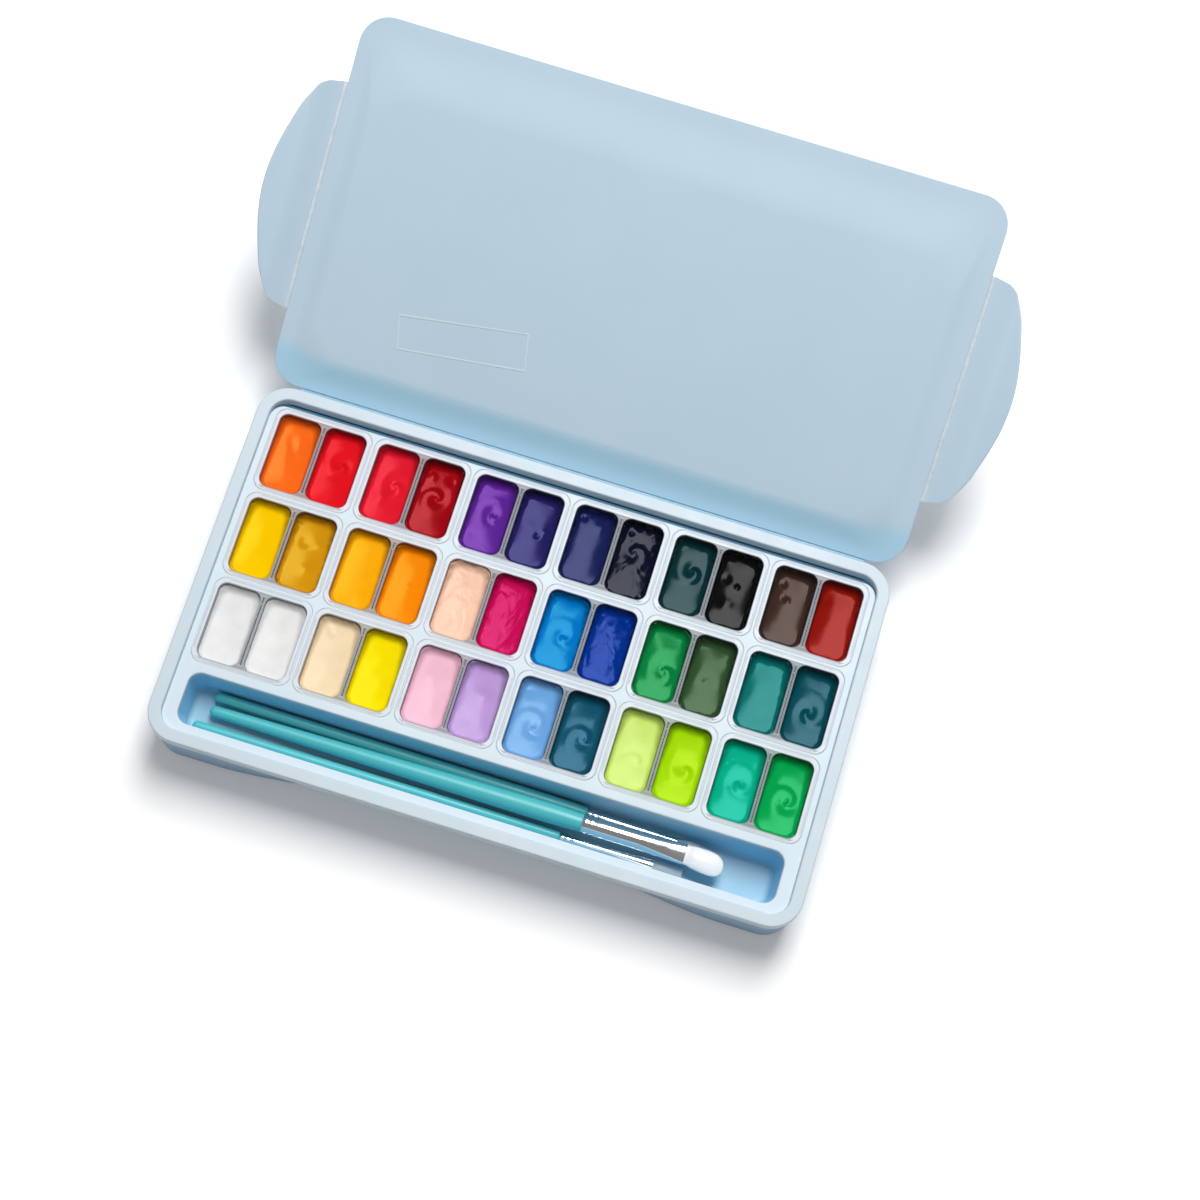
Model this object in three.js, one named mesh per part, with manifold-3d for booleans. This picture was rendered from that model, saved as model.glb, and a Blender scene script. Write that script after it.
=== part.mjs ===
// A gouache paint set box, open on a table, in millimetres with +Z up.
// A shallow plastic case holds a tray with eighteen lift-out twin cups of paint and a trough for three
// brushes. A thin lid is moulded on at the back edge, and a latch wing is moulded on at each of its ends.
// The origin is the centre of the case's underside. +X runs along the case and +Y towards the lid.

import * as THREE from "three";
import { mergeVertices } from "three/addons/utils/BufferGeometryUtils.js";
import Module from "manifold-3d";

const wasm = await Module();
wasm.setup();

// Case
const caseLength = 264;
const caseDepth = 152;
const caseHeight = 30;
const cornerRadius = 13;
const rimWidth = 5.2;
const rimHeight = 5.5;
const rimRound = 0.8;
const wallInset = 1.2;
const wallThickness = 1.8;
const floorThickness = 1.8;
const footRound = 1.2;

// Finger scoop, a shallow wave low in the front wall
const scoopDepth = 5.5;
const scoopFlat = 80;
const scoopRamp = 65;

// Tray
const trayClearance = 0.3;
const deckDrop = 3;
const deckThickness = 2.4;
const trayWall = 1.2;
const trayLegRise = 0.3;
const deckBackMargin = 1.9;
const deckSideMargin = 1.7;

// Brush trough, along the front of the tray
const troughEndStrip = 5.5;
const troughWidth = 21;
const troughDepth = 18;
const troughFrontStrip = 3.5;
const troughBackStrip = 3.4;
const troughCorner = 5;
const troughDraft = 1.6;
const troughFloorRound = 2.2;
const troughRibs = 5;
const troughRibThickness = 1.4;

// Twin cups
const cupColumns = 6;
const cupRows = 3;
const deckRidge = 1;
const cupClearance = 0.2;
const cupFlange = 0.9;
const cupLip = 1.95;
const cupWall = 0.9;
const cupDivider = 2;
const cupDepth = 16.9;
const cupFloor = 1;
const cupDraft = 1.3;
const cupSeat = 0.2;
const flangeCorner = 5;
const wellCorner = 3.6;
const windowClearance = 0.3;
const neckHeight = 0.7;
const neckWidth = 2.4;

// Paint
const paintDrop = 2;
const paintGap = 0.2;
const paintRise = 0.5;
const paintShoulder = 1.3;

// Lid, measured from the axis of its moulded hinge
const lidOpenAngle = 26.5;
const lidSeat = 0.3;
const lidThickness = 1.2;
const lidOverhang = 0.2;
const lidFrontInset = 1.75;
const lidCorner = 12;
const lidBorder = 6.2;
const lidPanelRise = 1.5;
const lidPanelRamp = 8;
const lidEdgeRound = 0.3;
const hingeDrop = 0.7;
const hingeBead = 0.45;
const hingeGap = 0.3;
const hingeInset = 14;

// Latch wings
const wingLength = 92.4;
const wingReach = 21.8;
const wingEndReach = 12.3;
const wingThickness = 1.2;
const wingValleyReach = 13;
const wingValleyDepth = 1.6;
const wingLipRise = 1.1;

// Brushes, and where each lies in the trough: from its left end, from its right end and from its back
const tenonClearance = 0.2;
const tenonLength = 9;
const ferruleWall = 0.3;
const tuftSeat = 3;
const crimpDepth = 0.35;
const crimpPitch = 2.6;
const brushSeat = 0.3;
const roundFerruleLength = 37.3;
const roundTuftLength = 18.5;
const roundButtGap = 9.4;
const roundPointGap = 23.3;
const roundFromBack = 4.3;
const filbertFerruleLength = 42;
const filbertTuftLength = 15.5;
const filbertTuftHalfWidth = 4.9;
const filbertButtGap = 9.6;
const filbertPointGap = 21.9;
const filbertFromBack = 10.3;
const filbertRise = 5.4;
const flatFerruleLength = 38.5;
const flatTuftLength = 12;
const flatButtGap = 4.7;
const flatPointGap = 36.3;
const flatFromBack = 17;
const brushes = [
  {
    name: "round_brush",
    handle: { buttRadius: 2.1, fullRadius: 2.8, neckRadius: 2.5 },
    ferrule: { length: roundFerruleLength, radius: 1.65, tipHalfWidth: 1.3, tipHalfHeight: 1.3 },
    tuft: { length: roundTuftLength, halfWidth: 1.9, halfHeight: 1.7, pointHalfWidth: 0.25, lean: -0.3 },
    place: { buttGap: roundButtGap, pointGap: roundPointGap, fromBack: roundFromBack, swing: -1, rise: 0 },
  },
  {
    name: "filbert_brush",
    handle: { buttRadius: 2.3, fullRadius: 3.9, neckRadius: 3.6 },
    ferrule: { length: filbertFerruleLength, radius: 3.7, tipHalfWidth: 3.7, tipHalfHeight: 1.5 },
    tuft: {
      length: filbertTuftLength,
      halfWidth: filbertTuftHalfWidth,
      halfHeight: 1.7,
      pointHalfWidth: 2,
      lean: -1.5,
    },
    place: {
      buttGap: filbertButtGap,
      pointGap: filbertPointGap,
      fromBack: filbertFromBack,
      swing: 0.1,
      rise: filbertRise,
    },
  },
  {
    name: "flat_brush",
    handle: { buttRadius: 2, fullRadius: 2.5, neckRadius: 2.2 },
    ferrule: { length: flatFerruleLength, radius: 1.5, tipHalfWidth: 2.3, tipHalfHeight: 0.9 },
    tuft: { length: flatTuftLength, halfWidth: 2.4, halfHeight: 0.8, pointHalfWidth: 2.1, lean: 0 },
    place: { buttGap: flatButtGap, pointGap: flatPointGap, fromBack: flatFromBack, swing: 0.6, rise: 0 },
  },
];

// How finely round stretches are stepped
const caseCornerSteps = 5;
const scoopSteps = 18;
const cupCornerSteps = 3;
const brushSides = 12;
const beadSides = 8;

// How far a cutting solid runs past what it cuts
const overrun = 1;

// Heights and places that follow from the sizes above
const deckTop = caseHeight - deckDrop;
const deckUnderside = deckTop - deckThickness;
const rimUnderside = caseHeight - rimHeight;
const trayInset = rimWidth + trayClearance;
const deckHalfLength = caseLength / 2 - trayInset;
const deckHalfDepth = caseDepth / 2 - trayInset;
const troughLength = 2 * (deckHalfLength - troughEndStrip);
const troughFront = -deckHalfDepth + troughFrontStrip;
const troughBack = troughFront + troughWidth;
const troughFloor = deckTop - troughDepth;
const gridFront = troughBack + troughBackStrip;
const gridBack = deckHalfDepth - deckBackMargin;
const pitchX = (2 * (deckHalfLength - deckSideMargin)) / cupColumns;
const pitchY = (gridBack - gridFront) / cupRows;
const flangeHalfX = (pitchX - deckRidge) / 2 - cupClearance;
const flangeHalfY = (pitchY - deckRidge) / 2 - cupClearance;
const wellHalfX = (2 * (flangeHalfX - cupLip) - cupDivider) / 4;
const wellHalfY = flangeHalfY - cupLip;
const wellCentre = wellHalfX + cupDivider / 2;
const recessFloor = deckTop - cupFlange - cupSeat;
const cupBottom = deckTop - cupDepth;
const wellFloor = cupBottom + cupFloor;
const hingeAxisY = caseDepth / 2 + hingeGap + hingeBead;
const hingeAxisZ = caseHeight - hingeDrop;
const lidHalfLength = caseLength / 2 + lidOverhang;
const lidInnerFace = -(hingeDrop + lidSeat);
const lidMiddle = lidInnerFace - lidThickness / 2;
const lidDepth = hingeAxisY + caseDepth / 2 - lidFrontInset;
const lidNearEdge = hingeGap;
const wingHingeX = lidHalfLength + hingeGap + hingeBead;
const wingRoot = hingeBead + hingeGap;

// Materials
function plastic(colour, roughness = 0.5) {
  return new THREE.MeshStandardMaterial({ color: colour, roughness, metalness: 0 });
}
const paleBlue = plastic(0xbcd6e6);
const rimBlue = plastic(0xd5e5ef);
const hingeWhite = plastic(0xe6eef3);
const frosted = plastic(0xc9d0d8, 0.3);
const lacquer = plastic(0x43b3bf, 0.35);
const nylon = plastic(0xf0f2f4, 0.7);
const chrome = new THREE.MeshStandardMaterial({ color: 0xd8dadd, roughness: 0.2, metalness: 1 });

// The paints in the set, by the name of each colour
const paints = {
  coolWhite: 0xf1f0ee,
  brightWhite: 0xf5f5f4,
  buff: 0xf2dbb2,
  lemonYellow: 0xf5e51b,
  rosePink: 0xf7bcd2,
  lilac: 0xc3a2dd,
  skyBlue: 0x7fb2ea,
  slateTeal: 0x2c6a7c,
  paleLime: 0xc6ee6b,
  yellowGreen: 0xa4e019,
  turquoiseGreen: 0x14b890,
  brightGreen: 0x19bb63,
  middleYellow: 0xf6d00c,
  yellowOchre: 0xcf9a26,
  goldenYellow: 0xf8ab15,
  orangeYellow: 0xf98a12,
  peach: 0xf9c19d,
  magenta: 0xbf164f,
  cerulean: 0x1f86d6,
  ultramarine: 0x2142b4,
  leafGreen: 0x18953f,
  oliveGreen: 0x3b5a2c,
  teal: 0x137e6b,
  deepTeal: 0x0d565c,
  orange: 0xf26a25,
  vermilion: 0xdf2a2c,
  scarlet: 0xdc2328,
  crimson: 0xa3141d,
  violet: 0x5a1c96,
  blueViolet: 0x2a1c66,
  indigo: 0x232a5c,
  midnight: 0x12183a,
  blackGreen: 0x0f3a36,
  black: 0x17181a,
  umber: 0x3e2620,
  burntSienna: 0xb8352a,
};

// Which two paints share a twin cup, left to right, in rows from the front to the back
const paintRows = [
  "coolWhite brightWhite, buff lemonYellow, rosePink lilac",
  "skyBlue slateTeal, paleLime yellowGreen, turquoiseGreen brightGreen",
  "middleYellow yellowOchre, goldenYellow orangeYellow, peach magenta",
  "cerulean ultramarine, leafGreen oliveGreen, teal deepTeal",
  "orange vermilion, scarlet crimson, violet blueViolet",
  "indigo midnight, blackGreen black, umber burntSienna",
];
const paintPairs = paintRows.flatMap((row) => row.split(", ").map((pair) => pair.split(" ")));

// A closed geometry as a solid for joining and cutting.
function toSolid(geometry) {
  const bare = geometry.clone();
  bare.deleteAttribute("normal");
  bare.deleteAttribute("uv");
  const merged = mergeVertices(bare);
  return new wasm.Manifold(
    new wasm.Mesh({
      numProp: 3,
      vertProperties: new Float32Array(merged.attributes.position.array),
      triVerts: new Uint32Array(merged.index.array),
    }),
  );
}

// A joined or cut solid back as a geometry.
function toGeometry(solid) {
  const mesh = solid.getMesh();
  const geometry = new THREE.BufferGeometry();
  geometry.setAttribute("position", new THREE.BufferAttribute(new Float32Array(mesh.vertProperties), 3));
  geometry.setIndex(new THREE.BufferAttribute(new Uint32Array(mesh.triVerts), 1));
  return geometry;
}

// A closed skin over a row of rings with equally many points, counter-clockwise seen from +Z, with a flat
// cap on the first and on the last.
function loft(rings) {
  const count = rings[0].length;
  const faces = [];
  for (let ring = 0; ring < rings.length - 1; ring++)
    for (let point = 0; point < count; point++) {
      const here = ring * count + point;
      const next = ring * count + ((point + 1) % count);
      faces.push(here, next, next + count, here, next + count, here + count);
    }
  const capOf = (ring) => {
    const flat = ring.map((point) => new THREE.Vector2(point.x, point.y));
    return THREE.ShapeUtils.triangulateShape(flat, []);
  };
  const top = (rings.length - 1) * count;
  for (const [a, b, c] of capOf(rings[0])) faces.push(a, c, b);
  for (const [a, b, c] of capOf(rings[rings.length - 1])) faces.push(top + a, top + b, top + c);
  const geometry = new THREE.BufferGeometry();
  const positions = rings.flat().flatMap((point) => [point.x, point.y, point.z]);
  geometry.setAttribute("position", new THREE.Float32BufferAttribute(positions, 3));
  geometry.setIndex(faces);
  return geometry;
}

// A rectangle with rounded corners at one height, counter-clockwise from its front right corner.
function roundedRing(halfX, halfY, radius, steps, height, centre = { x: 0, y: 0 }) {
  const quarter = Math.PI / 2;
  const corners = [
    [1, -1],
    [1, 1],
    [-1, 1],
    [-1, -1],
  ];
  const points = [];
  corners.forEach(([sideX, sideY], corner) => {
    for (let step = 0; step <= steps; step++) {
      const angle = (corner - 1 + step / steps) * quarter;
      const x = centre.x + sideX * (halfX - radius) + radius * Math.cos(angle);
      const y = centre.y + sideY * (halfY - radius) + radius * Math.sin(angle);
      points.push(new THREE.Vector3(x, y, height));
    }
  });
  return points;
}

// How much of the scoop's full depth is left at a place along the front, from 1 in the middle to 0.
function scoopShareAt(x) {
  const share = THREE.MathUtils.clamp((scoopFlat / 2 + scoopRamp - Math.abs(x)) / scoopRamp, 0, 1);
  return share * share * (3 - 2 * share);
}

// The scoop fades out up the wall and is gone at the underside of the rim.
function scoopDepthAt(height) {
  return scoopDepth * THREE.MathUtils.clamp(1 - height / rimUnderside, 0, 1);
}

// One ring of the case, drawn in from its outermost outline, with the scoop's wave along its front.
function caseRing(inset, height) {
  const halfX = caseLength / 2 - inset;
  const halfY = caseDepth / 2 - inset;
  const radius = Math.max(cornerRadius - inset, wallThickness);
  const ring = roundedRing(halfX, halfY, radius, caseCornerSteps, height);
  const straight = halfX - radius;
  for (let step = 1; step < scoopSteps; step++) {
    const x = straight * ((2 * step) / scoopSteps - 1);
    ring.push(new THREE.Vector3(x, -halfY, height));
  }
  for (const point of ring)
    if (point.y < 0) point.y += scoopDepthAt(height) * scoopShareAt(point.x);
  return ring;
}

// An upright block with rounded corners.
function roundedBlock(halfX, halfY, radius, steps, low, high, centre) {
  return toSolid(
    loft([
      roundedRing(halfX, halfY, radius, steps, low, centre),
      roundedRing(halfX, halfY, radius, steps, high, centre),
    ]),
  );
}

// An upright block with square corners, from its lowest to its highest corner.
function block(lowX, lowY, lowZ, highX, highY, highZ) {
  const box = new THREE.BoxGeometry(highX - lowX, highY - lowY, highZ - lowZ);
  box.translate((lowX + highX) / 2, (lowY + highY) / 2, (lowZ + highZ) / 2);
  return toSolid(box);
}

// The case: one skin from the underside, up the wall, over the rim and down inside to the floor.
function makeBaseShell() {
  const innerInset = wallInset + wallThickness;
  return loft([
    caseRing(wallInset + footRound, 0),
    caseRing(wallInset + footRound / 3, footRound / 3),
    caseRing(wallInset, footRound),
    caseRing(wallInset, rimUnderside),
    caseRing(0, rimUnderside),
    caseRing(0, caseHeight - rimRound),
    caseRing(rimRound / 3, caseHeight - rimRound / 3),
    caseRing(rimRound, caseHeight),
    caseRing(rimWidth - rimRound / 2, caseHeight),
    caseRing(rimWidth, caseHeight - rimRound / 2),
    caseRing(rimWidth, rimUnderside),
    caseRing(innerInset, rimUnderside - wallThickness / 2),
    caseRing(innerInset, floorThickness),
  ]);
}

function cupCentre(column, row) {
  return {
    x: (column - (cupColumns - 1) / 2) * pitchX,
    y: gridFront + (row + 0.5) * pitchY,
  };
}

const cups = [];
for (let row = 0; row < cupRows; row++)
  for (let column = 0; column < cupColumns; column++)
    cups.push({ name: `${row + 1}_${column + 1}`, centre: cupCentre(column, row) });

// The trough's hollow: drafted walls and a rounded foot, grown on every side by the given amount.
function troughRing(height, draftShare, grow) {
  const draft = troughDraft * draftShare;
  const centre = { x: 0, y: (troughFront + troughBack) / 2 };
  const halfX = troughLength / 2 - draft + grow;
  const halfY = troughWidth / 2 - draft + grow;
  return roundedRing(halfX, halfY, troughCorner + grow, caseCornerSteps, height, centre);
}

function troughSolid(grow, top) {
  const floor = troughFloor - grow;
  const footShare = 1 + troughFloorRound / troughDraft;
  const middleShare = 1 + troughFloorRound / troughDraft / 3;
  return toSolid(
    loft([
      troughRing(floor, footShare, grow),
      troughRing(floor + troughFloorRound / 3, middleShare, grow),
      troughRing(floor + troughFloorRound, 1, grow),
      troughRing(top, 0, grow),
    ]),
  );
}

// The tray: a deck with a leg all round but at the front, the trough on its ribs, and a window with a
// shallow seat for each twin cup.
function makeCupTray() {
  const legFoot = floorThickness + trayLegRise;
  let tray = toSolid(loft([caseRing(trayInset, legFoot), caseRing(trayInset, deckTop)]));
  const hollow = [
    caseRing(trayInset + trayWall, legFoot - overrun),
    caseRing(trayInset + trayWall, deckUnderside),
  ];
  tray = tray.subtract(toSolid(loft(hollow)));
  const legFront = troughBack - overrun;
  const beyond = caseDepth;
  tray = tray.subtract(
    block(-caseLength, -beyond, legFoot - overrun, caseLength, legFront, deckUnderside),
  );
  tray = tray.add(troughSolid(trayWall, deckUnderside + overrun));
  const ribReach = troughWidth / 2 - troughDraft - troughFloorRound;
  const ribMiddle = (troughFront + troughBack) / 2;
  const ribTop = troughFloor - trayWall / 2;
  for (let rib = 0; rib < troughRibs; rib++) {
    const x = ((rib + 0.5) / troughRibs - 0.5) * troughLength;
    tray = tray.add(
      block(
        x - troughRibThickness / 2,
        ribMiddle - ribReach,
        legFoot,
        x + troughRibThickness / 2,
        ribMiddle + ribReach,
        ribTop,
      ),
    );
  }
  tray = tray.subtract(troughSolid(0, deckTop + overrun));
  for (const { centre } of cups) {
    const seatX = flangeHalfX + cupClearance;
    const seatY = flangeHalfY + cupClearance;
    const windowX = 2 * wellHalfX + cupDivider / 2 + cupWall + windowClearance;
    const windowY = wellHalfY + cupWall + windowClearance;
    tray = tray
      .subtract(
        roundedBlock(seatX, seatY, flangeCorner, cupCornerSteps, recessFloor, deckTop + overrun, centre),
      )
      .subtract(
        roundedBlock(
          windowX,
          windowY,
          wellCorner + cupWall,
          cupCornerSteps,
          deckUnderside - overrun,
          deckTop + overrun,
          centre,
        ),
      );
  }
  return toGeometry(tray);
}

// One well's outline at a height. A cup narrows downwards by its draft, and so does what fills it.
function wellRing(side, height, inset) {
  const draft = (cupDraft * (deckTop - height)) / cupDepth;
  const shrink = draft + inset;
  const centre = { x: side * wellCentre, y: 0 };
  const radius = Math.max(wellCorner - shrink / 2, cupDivider / 2);
  return roundedRing(wellHalfX - shrink, wellHalfY - shrink, radius, cupCornerSteps, height, centre);
}

// The passage low in a cup's divider, through which the two fills of one cup meet.
function neckBlock(clearance) {
  const reach = cupDivider / 2 + cupDraft + paintGap + paintShoulder;
  const low = wellFloor + (clearance > 0 ? 0 : paintGap);
  const high = wellFloor + paintGap + neckHeight + clearance;
  const half = neckWidth / 2 + clearance;
  return block(-reach, -half, low, reach, half, high);
}

// A twin cup: a flange that hangs on the tray, one drafted body and two wells with a divider.
function makeTwinCup() {
  const bodyX = 2 * wellHalfX + cupDivider / 2 + cupWall;
  const bodyY = wellHalfY + cupWall;
  const bodyCorner = wellCorner + cupWall;
  const flangeUnderside = deckTop - cupFlange;
  const body = loft([
    roundedRing(bodyX - cupDraft, bodyY - cupDraft, bodyCorner - cupDraft, cupCornerSteps, cupBottom),
    roundedRing(bodyX, bodyY, bodyCorner, cupCornerSteps, flangeUnderside),
    roundedRing(flangeHalfX, flangeHalfY, flangeCorner, cupCornerSteps, flangeUnderside),
    roundedRing(flangeHalfX, flangeHalfY, flangeCorner, cupCornerSteps, deckTop),
  ]);
  let cup = toSolid(body);
  for (const side of [-1, 1]) {
    const slope = cupDepth / (cupDepth - cupFloor);
    const top = deckTop + overrun * slope;
    cup = cup.subtract(toSolid(loft([wellRing(side, wellFloor, 0), wellRing(side, top, 0)])));
  }
  return toGeometry(cup.subtract(neckBlock(paintGap)));
}

// Both fills of one twin cup, each drawn up a little where it meets the wall.
function makePaintPair(leftColour, rightColour) {
  const paintTop = deckTop - paintDrop;
  let paint = neckBlock(0);
  for (const side of [-1, 1])
    paint = paint.add(
      toSolid(
        loft([
          wellRing(side, wellFloor + paintGap, paintGap),
          wellRing(side, paintTop + paintRise, paintGap),
          wellRing(side, paintTop, paintGap + paintShoulder),
        ]),
      ),
    );
  const geometry = toGeometry(paint);
  const colours = [new THREE.Color(leftColour), new THREE.Color(rightColour)];
  const positions = geometry.attributes.position;
  const painted = [];
  for (let point = 0; point < positions.count; point++)
    painted.push(...colours[positions.getX(point) < 0 ? 0 : 1].toArray());
  geometry.setAttribute("color", new THREE.Float32BufferAttribute(painted, 3));
  return geometry;
}

// One ring of the lid, drawn in from its outline, at a height over the hinge axis.
function lidRing(inset, height) {
  const halfY = (lidDepth - lidNearEdge) / 2;
  const centre = { x: 0, y: lidNearEdge + halfY };
  const radius = Math.max(lidCorner - inset, lidEdgeRound);
  return roundedRing(lidHalfLength - inset, halfY - inset, radius, caseCornerSteps, height, centre);
}

// The step's section, as shares of its run and rise.
const lidPanelShares = [
  [0, 0],
  [0.3, 0.16],
  [0.7, 0.84],
  [1, 1],
];

// The rings of the step from the lid's flat border to its middle panel, which lies nearer to the paints.
function lidPanelRings(face) {
  return lidPanelShares.map(([across, up]) =>
    lidRing(lidBorder + lidPanelRamp * across, face + lidPanelRise * up),
  );
}

function makeLidPanel() {
  const outerFace = lidInnerFace - lidThickness;
  return loft([
    ...lidPanelRings(outerFace).reverse(),
    lidRing(lidEdgeRound, outerFace),
    lidRing(0, outerFace + lidEdgeRound),
    lidRing(0, lidInnerFace - lidEdgeRound),
    lidRing(lidEdgeRound, lidInnerFace),
    ...lidPanelRings(lidInnerFace),
  ]);
}

// How far a wing's middle surface stands off the plane of its hinge, at a distance out from the hinge: down
// into a valley and up again to the lip.
function wingHeightAt(out) {
  const valleyShare = Math.min(out / wingValleyReach, 1);
  const lipShare = Math.max(out - wingValleyReach, 0) / (wingReach - wingValleyReach);
  const sink = valleyShare * valleyShare * (3 - 2 * valleyShare);
  return -wingValleyDepth * sink + (wingValleyDepth + wingLipRise) * lipShare;
}

// Half of a wing's outline as shares of its half length and reach, from its end to its middle.
const wingEndShares = [
  [1, 0],
  [0.975, 0.55],
  [0.93, 0.85],
  [0.86, 0.99],
];
const wingBulgeShares = [0.74, 0.6, 0.45, 0.3, 0.15, 0];
const wingSwellPower = 1.3;
const wingAcrossShares = [0, 0.2, 0.4, 0.6, 0.8, 1];

// The outline's points from one end of the wing to the other, as places along the hinge and out from it.
function wingOutline() {
  const half = wingLength / 2;
  const end = wingEndShares.slice(1).map(([along, out]) => [along * half, out * wingEndReach]);
  const bulge = wingBulgeShares.map((along) => {
    const swell = Math.cos((along * Math.PI) / 2) ** wingSwellPower;
    return [along * half, wingEndReach + (wingReach - wingEndReach) * swell];
  });
  const halfOutline = [...end, ...bulge];
  const mirrored = halfOutline.slice(0, -1).map(([along, out]) => [-along, out]);
  return [...mirrored, ...halfOutline.reverse()];
}

// A latch wing along +Z, reaching out along +X, with its inner face up along +Y.
function makeWing() {
  const half = wingLength / 2;
  const outline = wingOutline();
  const endAlong = outline[outline.length - 1][0];
  const rings = outline.map(([along, out]) => {
    const root = (along / endAlong) * half;
    const side = (lift) =>
      wingAcrossShares.map((share) => {
        const reach = wingRoot + (out - wingRoot) * share;
        const place = root + (along - root) * share;
        return new THREE.Vector3(reach, wingHeightAt(reach) + lift * (wingThickness / 2), place);
      });
    return [...side(-1), ...side(1).reverse()];
  });
  return loft(rings);
}

function makeHingeBead(length) {
  return new THREE.CylinderGeometry(hingeBead, hingeBead, length, beadSides);
}

// An oval ring square to a brush's axis.
function brushRing(halfWidth, halfHeight, along, aside = 0) {
  const points = [];
  for (let side = 0; side < brushSides; side++) {
    const angle = ((side + 0.5) / brushSides) * 2 * Math.PI;
    const x = aside + halfWidth * Math.cos(angle);
    points.push(new THREE.Vector3(x, halfHeight * Math.sin(angle), along));
  }
  return points;
}

// The handle's length is what the trough leaves it between the gaps at its ends.
function handleLength({ ferrule, tuft, place }) {
  return troughLength - place.buttGap - place.pointGap - ferrule.length - tuft.length;
}

// The butt's rounding as shares of its radius, and the swell as shares of the length and of the way from
// the butt's radius to the full one.
const buttShares = [
  [0, 0.35],
  [0.35, 0.8],
  [1, 1],
];
const swellShares = [
  [0.35, 0.4],
  [0.7, 0.85],
  [0.9, 1],
];
const neckShare = 0.5;

// A brush handle along +Z from its round butt to the tenon inside the ferrule.
function makeHandle(brush) {
  const { buttRadius, fullRadius, neckRadius } = brush.handle;
  const length = handleLength(brush);
  const tenon = brush.ferrule.radius - ferruleWall - tenonClearance;
  const profile = [
    ...buttShares.map(([along, across]) => [along * buttRadius, across * buttRadius]),
    ...swellShares.map(([along, swell]) => [
      along * length,
      THREE.MathUtils.lerp(buttRadius, fullRadius, swell),
    ]),
    [length - neckRadius * neckShare, neckRadius],
    [length, brush.ferrule.radius],
    [length, tenon],
    [length + tenonLength, tenon],
  ];
  return loft(profile.map(([along, radius]) => brushRing(radius, radius, along)));
}

// Where along a ferrule it starts to flatten towards the tuft
const flattenShare = 0.55;

// A ferrule: a thin tube crimped twice near the handle, open at both ends, with a web between them.
function makeFerrule(brush) {
  const { length, radius, tipHalfWidth, tipHalfHeight } = brush.ferrule;
  const start = handleLength(brush);
  const mouth = start + tenonClearance;
  const end = start + length;
  const bore = radius - ferruleWall;
  const webBack = start + tenonLength + tenonClearance;
  const rings = [brushRing(bore, bore, webBack), brushRing(bore, bore, mouth)];
  rings.push(brushRing(radius, radius, mouth));
  for (const crimp of [1, 2]) {
    const middle = mouth + crimp * crimpPitch;
    rings.push(brushRing(radius, radius, middle - crimpPitch / 4));
    rings.push(brushRing(radius - crimpDepth / 2, radius - crimpDepth / 2, middle));
    rings.push(brushRing(radius, radius, middle + crimpPitch / 4));
  }
  rings.push(brushRing(radius, radius, start + length * flattenShare));
  rings.push(brushRing(tipHalfWidth, tipHalfHeight, end));
  const seatWidth = tipHalfWidth - ferruleWall;
  const seatHeight = tipHalfHeight - ferruleWall;
  rings.push(brushRing(seatWidth, seatHeight, end));
  rings.push(brushRing(seatWidth, seatHeight, end - tuftSeat));
  return loft(rings);
}

// A tuft's shape as shares of its length, its half width over the point's, and its half height.
const tuftShares = [
  [0.3, 0.97, 1],
  [0.6, 0.92, 0.75],
  [0.85, 0.62, 0.4],
  [1, 0, 0.12],
];

// The tuft of hair, gummed into one smooth shape that leans a little aside, with its root in the ferrule.
function makeTuft(brush) {
  const { ferrule, tuft } = brush;
  const end = handleLength(brush) + ferrule.length;
  const rootWidth = ferrule.tipHalfWidth - ferruleWall - tenonClearance;
  const rootHeight = ferrule.tipHalfHeight - ferruleWall - tenonClearance;
  const rings = [
    brushRing(rootWidth, rootHeight, end - tuftSeat + tenonClearance),
    brushRing(rootWidth, rootHeight, end + tenonClearance),
  ];
  for (const [along, across, up] of tuftShares) {
    const width = THREE.MathUtils.lerp(tuft.pointHalfWidth, tuft.halfWidth, across);
    rings.push(brushRing(width, tuft.halfHeight * up, end + tuft.length * along, tuft.lean * along));
  }
  return loft(rings);
}

// The object as a scene graph
const box = new THREE.Group();

function addPiece(parent, name, geometry, material) {
  const mesh = new THREE.Mesh(geometry, material);
  mesh.name = name;
  parent.add(mesh);
  return mesh;
}

addPiece(box, "base_shell", makeBaseShell(), rimBlue);
addPiece(box, "cup_tray", makeCupTray(), rimBlue);

cups.forEach(({ name, centre }, index) => {
  const [left, right] = paintPairs[index % paintPairs.length];
  const cup = addPiece(box, `twin_cup_${name}`, makeTwinCup(), frosted);
  cup.position.set(centre.x, centre.y, 0);
  const gouache = new THREE.MeshStandardMaterial({ vertexColors: true, roughness: 0.25, metalness: 0 });
  const paint = addPiece(box, `paint_pair_${name}`, makePaintPair(paints[left], paints[right]), gouache);
  paint.position.set(centre.x, centre.y, 0);
});

for (const brush of brushes) {
  const { handle, place } = brush;
  const laid = new THREE.Group();
  laid.position.set(
    place.buttGap - troughLength / 2,
    troughBack - place.fromBack,
    troughFloor + brushSeat + handle.fullRadius,
  );
  const reach = troughLength - place.buttGap - place.pointGap;
  const run = new THREE.Vector3(reach, place.swing, place.rise).normalize();
  const across = new THREE.Vector3(0, 0, 1).cross(run).normalize();
  const up = run.clone().cross(across);
  laid.quaternion.setFromRotationMatrix(new THREE.Matrix4().makeBasis(across, up, run));
  box.add(laid);
  addPiece(laid, `${brush.name}_handle`, makeHandle(brush), lacquer);
  addPiece(laid, `${brush.name}_ferrule`, makeFerrule(brush), chrome);
  addPiece(laid, `${brush.name}_tuft`, makeTuft(brush), nylon);
}

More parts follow.
